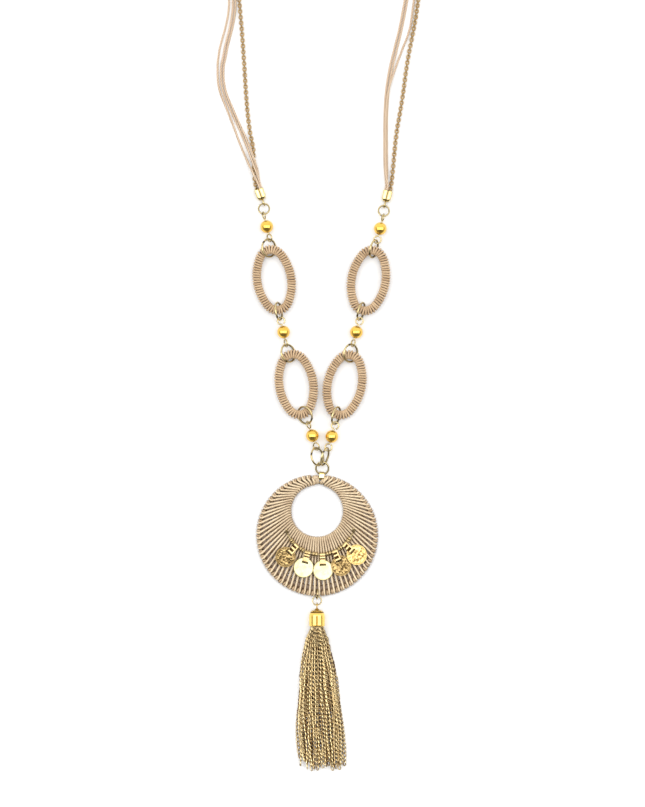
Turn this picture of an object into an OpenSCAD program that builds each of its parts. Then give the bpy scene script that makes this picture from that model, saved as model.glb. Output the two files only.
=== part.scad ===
// Tassel necklace, lying on a flat surface as it is laid out.
// The origin is on the surface under the middle of the whole outline,
// +Y runs up the necklace to the nape of the neck and +Z stands up from the surface.

/* [Neck loop] */
// Width of the rolo neck chain
chain_d = 2; // [1.4:0.1:2.4]
// Thickness of each waxed thread beside the chain
thread_d = 1; // [0.6:0.1:1.2]

/* [Cord ends] */
// Width of the folded metal end that grips the chain and the threads
end_w = 4.4; // [4:0.1:6]
// Thickness of the folded end
end_t = 3.6; // [3.4:0.1:5]
// Length of the folded end
end_l = 5.2; // [4:0.1:9]
// Depth of the hole that takes the chain
end_bore_l = 3; // [2:0.1:3.4]
// Outer diameter of the loop on the folded end
end_loop_d = 3.6; // [3.2:0.1:4.2]
// Wire of the loop on the folded end
end_loop_wire = 0.7; // [0.5:0.05:0.8]

/* [Jump rings] */
// Outer diameter of a large jump ring
jump_d = 9.2; // [8.6:0.1:9.8]
// Wire of a large jump ring
jump_wire = 0.9; // [0.7:0.05:1]
// Outer diameter of the small ring at each cord end
small_ring_d = 5.8; // [5.2:0.1:7]
// Wire of the small ring
small_ring_wire = 0.75; // [0.6:0.05:0.8]
// Outer diameter of the ring at the top of the disc
bail_ring_d = 6.8; // [6.4:0.1:8]
// Wire of the ring at the top of the disc
bail_ring_wire = 0.85; // [0.7:0.05:0.9]
// Width of the saw cut in each ring
ring_cut = 0.08; // [0.05:0.01:0.15]

/* [Beads and eye pins] */
// Diameter of a round bead
bead_d = 6; // [5.4:0.1:7]
// Bore of a bead
bead_bore = 1; // [0.8:0.1:1.6]
// Outer diameter of an eye
eye_d = 4.1; // [3.8:0.1:4.8]
// Wire of an eye pin
eye_wire = 0.7; // [0.5:0.05:0.75]
// Bare wire between a bead and the eye beside it
eye_neck = 0.3; // [0.1:0.05:1]

/* [Wound ovals] */
// Length of a wound oval
oval_l = 33.2; // [30:0.1:38]
// Width of a wound oval
oval_w = 20.4; // [19:0.1:22]
// Width of its band
oval_band = 4.4; // [3.8:0.1:4.6]
// Thickness of its band
oval_t = 2.8; // [2.2:0.1:3]
// Radius of the middle of the band at each end
oval_end_r = 5.5; // [5:0.1:6]

/* [Laced disc] */
// Diameter of the disc over its lacing
disc_d = 57.8; // [54:0.2:62]
// Diameter of the open hole
disc_hole_d = 23.5; // [20:0.1:24]
// How far the hole sits above the middle of the disc
disc_hole_up = 11.4; // [10:0.1:11.6]
// Wire of the two rings inside the lacing
hoop_wire = 1.6; // [1.2:0.1:1.7]
// Thickness of the lacing thread
lace_d = 0.6; // [0.5:0.05:0.6]
// Number of turns of the lacing
lace_turns = 72; // [50:1:72]

/* [Strap over the disc rim] */
// Width of the folded strap
strap_w = 2.4; // [1.6:0.1:2.8]
// Thickness of the strap metal
strap_t = 0.3; // [0.2:0.05:0.35]

/* [Coins] */
// Diameter of a coin
coin_d = 9.5; // [8:0.1:10]
// Thickness of a coin
coin_t = 0.6; // [0.4:0.05:0.7]
// Height of the raised border of a coin
coin_border_h = 0.1; // [0.05:0.05:0.15]
// Width of the raised border of a coin
coin_border_w = 0.45; // [0.3:0.05:0.7]
// Width of the folded strip that hangs a coin
coin_strip_w = 2.6; // [1.8:0.1:2.7]
// Thickness of that strip
coin_strip_t = 0.3; // [0.2:0.05:0.35]
// Bare metal between the slot of a coin and its edge
coin_bar = 1.9; // [0.5:0.05:2]
// Length of the strip between its two bends
coin_strip_l = 4.2; // [2.6:0.1:4.6]
// Slope of the coins from their wire down to the lacing
coin_dip = 2; // [1:0.5:2]
// Slope of each coin across, which lays its right edge over the next coin
coin_roll = 5.5; // [4.5:0.5:5.5]
// Radius of the curved wire that carries the coins
coin_arc_r = 16.8; // [16.4:0.1:18]
// Thickness of that wire
coin_wire = 0.7; // [0.5:0.05:0.75]
// Diameter of the wound post at each end of the wire
coin_post_d = 1.6; // [1.2:0.1:1.8]
// Diameter of the small spacer tubes on the wire
spacer_d = 2.2; // [1.8:0.1:2.4]
// Length of a spacer tube
spacer_l = 2.5; // [1.6:0.1:2.7]

/* [Tassel cap] */
// Outer diameter of the cap
cap_d = 7.4; // [7:0.1:9]
// Length of the cap without its eye
cap_l = 8.4; // [7:0.1:12]
// Thickness of the cap wall
cap_wall = 0.5; // [0.3:0.05:0.7]
// Radius of the rounded shoulder
cap_shoulder = 1.8; // [1.2:0.1:2.4]
// Height of the small cone on top
cap_cone_h = 1.2; // [0.6:0.1:2]
// Outer diameter of the eye on the cap
cap_eye_d = 2.9; // [2.7:0.1:3.4]
// Wire of the eye on the cap
cap_eye_wire = 0.6; // [0.4:0.05:0.65]
// Outer diameter of the loop through the rim of the disc
rim_loop_d = 5; // [4.9:0.1:6]
// Outer diameter of the ring between that loop and the cap
tassel_ring_d = 4.7; // [4.4:0.1:6]
// Wire of the loop and of the ring
tassel_wire = 0.6; // [0.5:0.05:0.6]

/* [Tassel] */
// Length of the tassel below the cap
tassel_l = 67.5; // [50:0.5:75]
// Width of the tassel where it spreads most
tassel_w = 24.5; // [20:0.5:29]
// Thickness of one hanging chain
strand_d = 1.9; // [1.5:0.1:2.1]

/* [Clearances] */
// Gap between two linked wires drawn against each other
link_gap = 0.2; // [0.12:0.01:0.25]
// Gap between a jump ring and the inner edge of a wound oval
oval_gap = 0.7; // [0.65:0.05:0.9]
// Gap round a thread, a wire or a chain inside its hole
bore_gap = 0.1; // [0.05:0.01:0.15]

/* [Hidden] */

GOLD = "goldenrod";
BRASS = "darkkhaki";
THREAD = "rosybrown";
ring_fn = 96;
tube_sides = 8;
shoulder_steps = 12;

// Radii of the wires' middle lines
jump_r = (jump_d - jump_wire) / 2;
small_r = (small_ring_d - small_ring_wire) / 2;
bail_r = (bail_ring_d - bail_ring_wire) / 2;
eye_r = (eye_d - eye_wire) / 2;
end_loop_r = (end_loop_d - end_loop_wire) / 2;
rim_loop_r = (rim_loop_d - tassel_wire) / 2;
tassel_ring_r = (tassel_ring_d - tassel_wire) / 2;
cap_eye_r = (cap_eye_d - cap_eye_wire) / 2;

// Heights above the surface
line_z = bead_d / 2;
end_z = end_t / 2;
disc_z = hoop_wire / 2 + bore_gap + lace_d;
disc_top = 2 * disc_z;
cap_z = cap_d / 2;

// Wound oval: the middle line of the band is drawn with two end arcs and two side arcs
oval_a = (oval_l - oval_band) / 2;
oval_b = (oval_w - oval_band) / 2;
oval_reach = oval_a - oval_end_r;
oval_side_r = (oval_reach * oval_reach + oval_b * oval_b - oval_end_r * oval_end_r) / (2 * (oval_b - oval_end_r));
oval_side_angle = atan2(oval_reach, oval_side_r - oval_b);

// Laced disc
disc_at = [-2.5, -158, 0];
rim_r = disc_d / 2 - lace_d - 2 * bore_gap - hoop_wire / 2;
hole_r = disc_hole_d / 2 + lace_d + 2 * bore_gap + hoop_wire / 2;
hole_at = disc_at + [0, disc_hole_up, 0];
// Place of the strap round the rim, clockwise from the top, and the free angles beside it on the inner hoop
strap_turn = 4.3;
lace_free_right = 6.6;
lace_free_left = 5;
// The threads crowd towards the bottom of the hole, and lean towards the top of the rim, by these angles
lace_crowd = 8;
lace_fan = 9;
lace_step = (360 - lace_free_right - lace_free_left) / (lace_turns - 1);
lace_in = hoop_wire / 2 + bore_gap;
function even_turn(k) = strap_turn + lace_free_right + k * lace_step;
function hole_turn(k) = let (e = even_turn(k)) e + lace_crowd * (sin(e) - sin(strap_turn) * (1 - e / 180));
function rim_turn(k) = hole_turn(k) - lace_fan * sin(hole_turn(k));
// The rim loop passes between the two turns nearest the bottom
loop_slot = floor((180 - strap_turn - lace_free_right) / lace_step);
rim_loop_turn = (rim_turn(loop_slot) + rim_turn(loop_slot + 1)) / 2;

// Reach from the middle of one link to the wire of the next one held in it
hold_eye = eye_r - eye_wire / 2 - jump_wire / 2 - link_gap;
hold_eye_small = eye_r - eye_wire / 2 - small_ring_wire / 2 - link_gap;
hold_end = end_loop_r - end_loop_wire / 2 - small_ring_wire / 2 - link_gap;
hold_bail = bail_r - bail_ring_wire / 2 - jump_wire / 2 - link_gap;
hold_oval = oval_end_r - oval_band / 2 - jump_wire / 2 - oval_gap;
pin_reach = bead_d / 2 + eye_neck + eye_r + eye_wire / 2;

// The wire between the two eyes is drawn a little thinner than in them
stem_share = 0.9;

function dir(h) = [sin(h), cos(h), 0];
function across(h) = [cos(h), -sin(h), 0];
function at_z(p, z) = [p.x, p.y, z];
// A jump ring leans as far as its roll and still clears the surface
function ring_z(roll) = max(line_z, jump_r * sin(abs(roll)) + jump_wire / 2);
function chord(roll, dz) = sqrt(jump_r * jump_r - pow(dz / sin(roll), 2));
function ring_from(p, h, roll) = let (z = ring_z(roll), dz = z - p.z)
    at_z(p + dir(h) * chord(roll, dz) - across(h) * dz / tan(roll), z);
function ring_to(c, h, roll) = let (dz = c.z - line_z)
    at_z(c + dir(h) * chord(roll, dz) + across(h) * dz / tan(roll), line_z);

// Lay of the links on each side from the disc up to the cord end.
// Columns: heading into the link, heading out of it, roll of its lower and of its upper end.
// Rows: ring f, pin 3, ring e, oval 2, ring d, pin 2, ring c, oval 1, ring b, pin 1, ring a, cord end.
LAY_LEFT = [
    [-20, -6, 50, 0],
    [-20, -20, -40, 65],
    [-22, -24, -42, 0],
    [-9, -9, 0, 0],
    [-26, -8, 42, 0],
    [-12, -12, -65, -5],
    [0, -18, 70, 0],
    [-9, -9, 0, 0],
    [-18, 14, 42, 0],
    [-14, -14, -50, -70],
    [8, -14, 0, 0],
    [-20, -20, 0, 0]];
LAY_RIGHT = [
    [26, 6, 70, 0],
    [17, 17, -15, 0],
    [9, 18, 65, 0],
    [12, 12, 0, 0],
    [11, 12, 42, 0],
    [16, 16, -60, 0],
    [15, 14, 70, 0],
    [10, 10, 0, 0],
    [14, 15, 65, 0],
    [14, 14, 0, -75],
    [4, 12, 0, 0],
    [14, 14, 0, 0]];

// Middle of a ring, heading of its line and roll
function place(c, row) = [c, (row[0] + row[1]) / 2, row[2], row[3]];
function mean(row) = (row[0] + row[1]) / 2;

function side(lay) = let (
    f = ring_from(in_bail(lay[0][0]), mean(lay[0]), lay[0][2]),
    pin3 = ring_to(f, mean(lay[0]), lay[0][2]) + dir(lay[0][1]) * hold_eye + dir(lay[1][0]) * pin_reach,
    e = ring_from(pin3 + dir(lay[1][0]) * pin_reach + dir(lay[2][0]) * hold_eye, mean(lay[2]), lay[2][2]),
    oval2 = ring_to(e, mean(lay[2]), lay[2][2]) + dir(lay[2][1]) * hold_oval + dir(lay[3][0]) * oval_reach,
    d = ring_from(oval2 + dir(lay[3][0]) * oval_reach + dir(lay[4][0]) * hold_oval, mean(lay[4]), lay[4][2]),
    pin2 = ring_to(d, mean(lay[4]), lay[4][2]) + dir(lay[4][1]) * hold_eye + dir(lay[5][0]) * pin_reach,
    c = ring_from(pin2 + dir(lay[5][0]) * pin_reach + dir(lay[6][0]) * hold_eye, mean(lay[6]), lay[6][2]),
    oval1 = ring_to(c, mean(lay[6]), lay[6][2]) + dir(lay[6][1]) * hold_oval + dir(lay[7][0]) * oval_reach,
    b = ring_from(oval1 + dir(lay[7][0]) * oval_reach + dir(lay[8][0]) * hold_oval, mean(lay[8]), lay[8][2]),
    pin1 = ring_to(b, mean(lay[8]), lay[8][2]) + dir(lay[8][1]) * hold_eye + dir(lay[9][0]) * pin_reach,
    a = pin1 + dir(lay[9][0]) * pin_reach + dir(lay[10][0]) * hold_eye_small
        + dir(mean(lay[10])) * small_r * cos(small_pitch) - [0, 0, (line_z - end_z) / 2],
    end = at_z(a + dir(mean(lay[10])) * small_r * cos(small_pitch) + dir(lay[10][1]) * hold_end, end_z))
    [place(f, lay[0]), place(pin3, lay[1]), place(e, lay[2]), place(oval2, lay[3]), place(d, lay[4]),
        place(pin2, lay[5]), place(c, lay[6]), place(oval1, lay[7]), place(b, lay[8]), place(pin1, lay[9]),
        place(a, lay[10]), place(end, lay[11])];
small_pitch = asin((line_z - end_z) / (2 * small_r));

// Strap over the rim, and the ring that hangs in it
strap_in = hoop_wire / 2 + bore_gap + strap_w * strap_w / (8 * rim_r);
strap_reach = hoop_wire / 2 + bail_ring_wire / 2 + 2 * bore_gap;
strap_at = at_z(disc_at + dir(strap_turn) * rim_r, disc_z);
// The bail ring rises from the strap to the height of the pins
bail_pitch = asin((line_z - disc_z) / (2 * bail_r));
bail_at = strap_at + dir(strap_turn) * (strap_reach + bail_r * cos(bail_pitch)) + [0, 0, bail_r * sin(bail_pitch)];
function in_bail(h) = bail_at + dir(h) * hold_bail + [0, 0, hold_bail * cos(h) * sin(bail_pitch)];
left = side(LAY_LEFT);
right = side(LAY_RIGHT);

// Loop through the rim, ring and cap below the disc
rim_loop_roll = 80;
rim_loop_z = rim_loop_r * sin(rim_loop_roll) + tassel_wire / 2;
rim_room = rim_loop_r - tassel_wire / 2 - hoop_wire / 2 - bore_gap;
rim_hold = sqrt(max(0, rim_room * rim_room - pow(rim_loop_z - disc_z, 2)));
rim_loop_at = at_z(disc_at + dir(rim_loop_turn) * (rim_r + rim_hold), rim_loop_z);
// The ring lies a little lower than the middle of the cap
tassel_ring_drop = 0.2;
// Under a wider cap it hangs as high as the loop in the rim lets it, at this share of its reach
ring_climb = 0.85;
rim_loop_reach = rim_loop_r - tassel_wire - link_gap;
tassel_ring_z = min(cap_z - tassel_ring_drop, rim_loop_z + ring_climb * rim_loop_reach);
tassel_ring_hold = sqrt(max(0, pow(rim_loop_reach, 2) - pow(tassel_ring_z - rim_loop_z, 2)));
tassel_ring_at = at_z(rim_loop_at - [0, tassel_ring_hold + tassel_ring_r, 0], tassel_ring_z);
cap_eye_reach = cap_eye_r - cap_eye_wire / 2 - tassel_wire / 2 - link_gap;
cap_eye_hold = sqrt(max(0, pow(cap_eye_reach, 2) - pow(cap_z - tassel_ring_z, 2)));
cap_eye_at = at_z(tassel_ring_at - [0, tassel_ring_r + cap_eye_hold, 0], cap_z);
cap_top = cap_eye_at - [0, cap_eye_r, 0];
cap_mouth = cap_top - [0, cap_l, 0];

// Coins on their curved wire
coin_arc_at = [-1.2, -150.1, 0];
coin_arc_from = 110;
coin_arc_to = 248;
coin_wire_z = disc_top + bore_gap + spacer_d / 2;
// Room for the wire and for the bar of the coin in the bends of a strip
coin_strip_room = 0.25;
coin_strip_in = coin_wire / 2 + coin_strip_room;
// The bar of a coin lies inside the bend of its strip, also where the coin slopes
coin_bar_z = coin_t / 2 + coin_strip_w / 2 * sin(coin_roll);
coin_slot = coin_strip_l + sqrt(pow(coin_strip_in, 2) - pow(coin_bar_z, 2)) - bore_gap;
coin_edge = coin_slot - coin_bar;
// Columns: place of the strip along the wire and heading in which the coin falls, clockwise from the top
COINS = [[221, 224], [200, 195], [176, 178], [155.5, 156.5], [136, 131]];
SPACERS = [231, 210.5, 188, 165.7, 145.7, 125.7];

// A slot or a bore is cut this far past the face that it opens
through = 1;
// Room under the chain and the threads
surface_gap = 0.05;
// Ends of the chain and the threads across the mouth of a cord end
chain_seat_x = 0.8;
chain_seat_z = 1.35;

// Route of the neck chain, from the left cord end up round the neck and down to the right one
CHAIN_ROUTE = [
    [-29.8, 1.6, 1.35], [-30.5, 3.5, 1.35], [-31.2, 5.4, 1.35], [-31.9, 10, 1.1], [-32.2, 16, 1.05],
    [-32.6, 24, 1.05], [-34.3, 33, 1.05], [-35.7, 46.5, 1.05], [-36.9, 65, 1.05], [-38.3, 84, 1.05],
    [-40.5, 105, 1.05], [-45, 130, 1.05], [-51.5, 158, 1.05], [-58.5, 186, 1.05], [-61.5, 208, 1.05],
    [-58, 231, 1.05], [-46, 251, 1.05], [-26, 264, 1.05], [0, 268, 1.05], [26, 264, 1.05],
    [46, 251, 1.05], [58, 231, 1.05], [61.5, 208, 1.05], [59.5, 186, 1.05], [54.5, 158, 1.05],
    [50, 130, 1.05], [46.5, 105, 1.05], [43.6, 84, 1.05], [40, 65, 1.05], [37.4, 46.5, 1.05],
    [35, 32.4, 1.05], [33.9, 23, 1.05], [33.3, 16, 1.05], [32.6, 9, 1.1], [31.9, 4.5, 1.35],
    [31.4, 2.6, 1.35], [30.9, 0.7, 1.35]];
// Routes of the three threads between the same ends: they lie outside the chain on the left and inside it on
// the right, and pass over it beside the left cord end and at the nape
THREAD_INNER = [
    [-28.7, 5.1, 0.75], [-29.4, 7, 0.75], [-30, 10, 0.8], [-30.6, 14, 1.8], [-32.1, 18.3, 2.7],
    [-33.7, 23, 2.5], [-35.6, 27.7, 1.3], [-37.7, 32.4, 0.55], [-41.9, 41.8, 0.55], [-45.6, 51.2, 0.55],
    [-46.5, 60.6, 0.55], [-44.9, 70, 0.55], [-40.9, 93.5, 0.55], [-47, 130, 0.55],
    [-53.6, 158, 0.55], [-60.5, 186, 0.55], [-63.4, 208, 0.55], [-59.8, 231.6, 0.55], [-47.4, 252.3, 0.55],
    [-27, 266.7, 0.55], [-13.7, 268.9, 2.6], [0, 266.8, 2.75], [12.8, 262.8, 2.6], [24.1, 259, 0.55],
    [42.9, 248, 0.55], [54, 229.5, 0.55], [57.2, 208, 0.55], [55.2, 186, 0.55], [50.1, 158, 0.55],
    [45.4, 130, 0.55], [38.7, 93.5, 0.55], [36.1, 80, 0.55], [33.6, 70, 0.55], [31.4, 60.6, 0.55],
    [29.8, 50, 0.55], [29.1, 37, 0.55], [29.1, 18, 0.55], [29.5, 11, 0.6], [29.9, 6, 0.75],
    [29.5, 4.3, 0.75]];
THREAD_MIDDLE = [
    [-28.7, 5.1, 1.95], [-29.4, 7, 1.95], [-30.2, 10, 2.2], [-31.6, 14, 2.75], [-33.3, 18.3, 2.65],
    [-35, 23, 1.9], [-36.9, 27.7, 0.8], [-38.9, 32.4, 0.55], [-43.2, 41.8, 0.55], [-46.9, 51.2, 0.55],
    [-47.7, 60.6, 0.55], [-46.1, 70, 0.55], [-42.1, 93.5, 0.55], [-48.2, 130, 0.55],
    [-54.8, 158, 0.55], [-61.7, 186, 0.55], [-64.6, 208, 0.55], [-60.9, 232, 0.55], [-48.2, 253.2, 0.55],
    [-27.4, 267.9, 0.55], [-13.9, 270.1, 2.6], [0, 268, 2.75], [13, 264, 2.6], [24.6, 260.1, 0.55],
    [43.8, 248.8, 0.55], [55.1, 229.9, 0.55], [58.4, 208, 0.55], [56.4, 186, 0.55], [51.3, 158, 0.55],
    [46.6, 130, 0.55], [39.9, 93.5, 0.55], [37.3, 80, 0.55], [34.9, 70, 0.55], [32.6, 60.6, 0.55],
    [31, 50, 0.55], [30.3, 37, 0.55], [30.3, 18, 0.55], [30.4, 11, 1.35], [29.9, 6, 1.95],
    [29.5, 4.3, 1.95]];
THREAD_OUTER = [
    [-29.4, 4.8, 2.95], [-30.1, 6.8, 2.95], [-31.7, 10, 2.95], [-33.6, 14, 2.3], [-35.6, 18.3, 1],
    [-37.6, 23, 0.55], [-39.5, 27.7, 0.55], [-41.2, 32.4, 0.55], [-44.8, 41.8, 0.55], [-48.4, 51.2, 0.55],
    [-49.3, 60.6, 0.55], [-48.4, 70, 0.55], [-43.9, 93.5, 0.55], [-49.5, 130, 0.55],
    [-56, 158, 0.55], [-62.9, 186, 0.55], [-65.8, 208, 0.55], [-62, 232.5, 0.55], [-49.1, 254, 0.55],
    [-27.9, 269, 0.55], [-14, 271.3, 2.6], [0, 269.2, 2.75], [13.1, 265.2, 2.6], [25, 261.3, 0.55],
    [44.6, 249.7, 0.55], [56.2, 230.4, 0.55], [59.6, 208, 0.55], [57.6, 186, 0.55], [52.6, 158, 0.55],
    [48, 130, 0.55], [43, 93.5, 0.55], [41, 80, 0.55], [37.4, 70, 0.55], [34, 60.6, 0.9],
    [30.8, 50, 1.75], [29.7, 37, 1.5], [29.7, 18, 1.5], [29.9, 11, 2.4], [30.6, 6, 2.95],
    [30.2, 4.1, 2.95]];

// Tassel: the locks leave the cap side by side and spread on the surface in two layers.
// Columns: place across from -1 to 1, layer, length as a share of the tassel, sway of its end in strand widths
LOCKS = [
    [-1, 0, 0.9, 0.3], [-0.8, 0, 0.99, -0.2], [-0.6, 0, 0.97, 0.2], [-0.4, 0, 1, 0], [-0.2, 0, 0.96, -0.3],
    [0, 0, 0.98, 0.2], [0.2, 0, 0.95, 0], [0.4, 0, 1, -0.2], [0.6, 0, 0.97, 0.3], [0.8, 0, 0.99, 0],
    [1, 0, 0.93, -0.3], [-0.87, 1, 0.95, -0.3], [-0.6, 1, 1, 0.3], [-0.33, 1, 0.94, 0], [-0.1, 1, 0.98, -0.3],
    [0.13, 1, 0.97, 0.3], [0.36, 1, 0.93, 0], [0.6, 1, 0.98, -0.2], [0.85, 1, 0.96, 0.2]];
// Half width of the spread along the tassel, as shares of its widest half
SPREAD = [0.09, 0.46, 0.54, 0.7, 0.81, 0.87, 0.94, 0.99, 1, 1, 0.97];
// How far the end of the tassel drifts to the right, as a share of its length
tassel_drift = 0.03;
lock_r = strand_d * 0.72;
// Height of the upper layer over the lower one in strand widths: in the cap, below it, and how much it sinks
layer_in_cap = 1.4;
layer_below_cap = 0.95;
layer_sinks = 0.25;
// The locks have come down to the surface in this fraction, one over it, of their length
lock_settle = 5;
lane_half = tassel_w / 2 - lock_r;
lock_sides = 8;
lock_rings = 11;
lock_inside = 2.5;
head_gap = 0.4;
// Flat core that fills the middle of the bundle where it leaves the cap
core_l = 4;
core_t = 0.9;
// Each lock starts a little lower and a little turned from the last, so that no two walls coincide
lock_stagger = 0.05;
lock_turn = 14;
lock_grid = 0.001;

function ease(t) = let (c = min(max(t, 0), 1)) c * c * (3 - 2 * c);
function spread_at(t) = let (s = t * (len(SPREAD) - 1), i = min(floor(s), len(SPREAD) - 2))
    SPREAD[i] + (SPREAD[i + 1] - SPREAD[i]) * (s - i);
// Below the cap the lock settles from its place in the round mouth to its layer on the surface
function lock_point(row, y) = let (
    out = min(max(-y / tassel_l, 0), 1),
    start_z = (row[1] - 0.5) * strand_d * layer_in_cap,
    rest_z = lock_r + row[1] * strand_d * (layer_below_cap - layer_sinks * out) - cap_z)
    [row[0] * spread_at(out) * lane_half + tassel_l * tassel_drift * out * out
        + row[3] * strand_d * sin(200 * out) * out, y, start_z + (rest_z - start_z) * ease(out * lock_settle)];

// Point of a smooth curve through the list, and the curve in equal steps between its points
function spline(p, i, t) = let (
    a = p[max(i - 1, 0)], b = p[i], c = p[i + 1], d = p[min(i + 2, len(p) - 1)])
    0.5 * (2 * b + (c - a) * t + (2 * a - 5 * b + 4 * c - d) * t * t + (3 * b - a - 3 * c + d) * t * t * t);
function smooth(p, n) = concat([for (i = [0:len(p) - 2], k = [0:n - 1]) spline(p, i, k / n)], [p[len(p) - 1]]);
function unit(v) = v / norm(v);
function tangent(p, i) = unit(p[min(i + 1, len(p) - 1)] - p[max(i - 1, 0)]);

module tube(route, d, steps) {
    path = [for (p = smooth(route, steps)) at_z(p, max(p.z, d / 2 + surface_gap))];
    n = tube_sides;
    rings = len(path);
    points = [for (i = [0:rings - 1]) let (
        t = tangent(path, i), s = unit(cross(t, [0, 0, 1])), u = cross(s, t))
        for (k = [0:n - 1]) path[i] + (s * cos(360 * k / n) + u * sin(360 * k / n)) * d / 2];
    walls = [for (i = [0:rings - 2], k = [0:n - 1]) let (j = (k + 1) % n)
        [i * n + k, i * n + j, (i + 1) * n + j, (i + 1) * n + k]];
    first = [[for (k = [n - 1:-1:0]) k]];
    last = [[for (k = [0:n - 1]) (rings - 1) * n + k]];
    polyhedron(points, concat(first, walls, last));
}

module torus(r, wire) {
    rotate_extrude($fn = ring_fn) translate([r, 0]) circle(d = wire, $fn = 24);
}

// Jump ring with its saw cut on the side that is rolled upwards
module jump_ring(r, wire) {
    difference() {
        torus(r, wire);
        translate([-r - wire, -ring_cut / 2, -wire]) cube([2 * wire, ring_cut, 2 * wire]);
    }
}

module lay(p) {
    translate(p[0]) rotate([0, 0, -p[1]]) rotate([0, p[2], 0]) children();
}

module large_ring(p) {
    color(BRASS) lay(p) jump_ring(jump_r, jump_wire);
}

module small_ring(p) {
    color(BRASS) translate(p[0]) rotate([0, 0, -p[1]]) rotate([-small_pitch, 0, 0]) jump_ring(small_r, small_ring_wire);
}

module eye_pin(p) {
    stem = pin_reach - eye_r;
    stem_wire = eye_wire * stem_share;
    color(BRASS) translate(p[0]) rotate([0, 0, -p[1]]) {
        translate([0, -stem, 0]) rotate([-90, 0, 0]) cylinder(d = stem_wire, h = 2 * stem, $fn = 24);
        translate([0, -pin_reach, 0]) rotate([0, p[2], 0]) torus(eye_r, eye_wire);
        translate([0, pin_reach, 0]) rotate([0, p[3], 0]) torus(eye_r, eye_wire);
    }
}

module bead(p) {
    color(GOLD) translate(p[0]) rotate([0, 0, -p[1]]) difference() {
        sphere(d = bead_d, $fn = 64);
        translate([0, -bead_d, 0]) rotate([-90, 0, 0]) cylinder(d = bead_bore, h = 2 * bead_d, $fn = 32);
    }
}

module band_section() {
    flat = oval_band - oval_t;
    translate([-flat / 2, 0]) circle(d = oval_t, $fn = 32);
    translate([flat / 2, 0]) circle(d = oval_t, $fn = 32);
    square([flat, oval_t], center = true);
}

module band_arc(at, r, from, angle) {
    translate(at) rotate([0, 0, from]) rotate_extrude(angle = angle, $fn = ring_fn) translate([r, 0]) band_section();
}

module wound_oval(p) {
    side_at = oval_side_r - oval_b;
    color(THREAD) translate(p[0]) rotate([0, 0, -p[1]]) for (turn = [0, 180]) rotate([0, 0, turn]) {
        band_arc([0, oval_reach, 0], oval_end_r, oval_side_angle, 180 - 2 * oval_side_angle);
        band_arc([-side_at, 0, 0], oval_side_r, -oval_side_angle, 2 * oval_side_angle);
    }
}

// Outline of a strip folded round two wires, and the strip itself
module folded_strip(inside, reach, t, w) {
    rotate([90, 0, 90]) translate([0, 0, -w / 2]) linear_extrude(w) difference() {
        strip_outline(inside + t, reach);
        strip_outline(inside, reach);
    }
}

module strip_outline(r, reach) {
    circle(r = r, $fn = 48);
    translate([reach, 0]) circle(r = r, $fn = 48);
    translate([0, -r]) square([reach, 2 * r]);
}

module rim_strap() {
    color(GOLD) translate(strap_at) rotate([0, 0, -strap_turn]) folded_strip(strap_in, strap_reach, strap_t, strap_w);
}

module bail_ring() {
    color(BRASS) translate(bail_at) rotate([0, 0, -strap_turn]) rotate([bail_pitch, 0, 0]) jump_ring(bail_r, bail_ring_wire);
}

module rim_hoop() {
    color(BRASS) translate(at_z(disc_at, disc_z)) torus(rim_r, hoop_wire);
}

module inner_hoop() {
    color(BRASS) translate(at_z(hole_at, disc_z)) torus(hole_r, hoop_wire);
}

// One turn of thread round both hoops, which it crosses at a slant
module lace_turn(hole_h, rim_h) {
    p = at_z(hole_at + dir(hole_h) * hole_r, disc_z);
    q = at_z(disc_at + dir(rim_h) * rim_r, disc_z);
    heading = atan2(q.x - p.x, q.y - p.y);
    past_p = slant_room(heading - hole_h);
    past_q = slant_room(heading - rim_h);
    translate(p) rotate([0, 0, -heading]) translate([0, -past_p, 0])
        folded_strip(lace_in, norm(q - p) + past_p + past_q, lace_d, lace_d);
}
// Room that a thread needs past the middle of a hoop that it crosses at this slant
function slant_room(angle) = hoop_wire / 2 * (1 / abs(cos(angle)) - 1) + lace_d / 2 * abs(tan(angle)) + bore_gap;

module lacing() {
    color(THREAD) for (k = [0:lace_turns - 1]) lace_turn(hole_turn(k), rim_turn(k));
}

module on_arc(h) {
    translate(at_z(coin_arc_at + dir(h) * coin_arc_r, coin_wire_z)) rotate([0, 0, -h]) children();
}

module coin_wire() {
    foot = disc_top + bore_gap;
    color(BRASS) {
        translate(at_z(coin_arc_at, coin_wire_z)) rotate([0, 0, 90 - coin_arc_to])
            rotate_extrude(angle = coin_arc_to - coin_arc_from, $fn = ring_fn)
            translate([coin_arc_r, 0]) circle(d = coin_wire, $fn = 24);
        for (h = [coin_arc_from, coin_arc_to]) on_arc(h) translate([0, 0, foot - coin_wire_z])
            cylinder(d = coin_post_d, h = coin_wire_z - foot + coin_post_d / 2, $fn = 32);
    }
}

module spacer_tubes() {
    color(GOLD) for (h = SPACERS) on_arc(h) translate([-spacer_l / 2, 0, 0]) rotate([0, 90, 0]) difference() {
        cylinder(d = spacer_d, h = spacer_l, $fn = 32);
        translate([0, 0, -through]) cylinder(d = coin_wire + 3 * bore_gap, h = spacer_l + 2 * through, $fn = 32);
    }
}

module fall(i) {
    translate(at_z(coin_arc_at + dir(COINS[i][0]) * coin_arc_r, coin_wire_z))
        rotate([0, 0, -COINS[i][1]]) rotate([-coin_dip, 0, 0]) children();
}

module coin_strip(i) {
    color(GOLD) fall(i) folded_strip(coin_strip_in, coin_strip_l, coin_strip_t, coin_strip_w);
}

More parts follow.
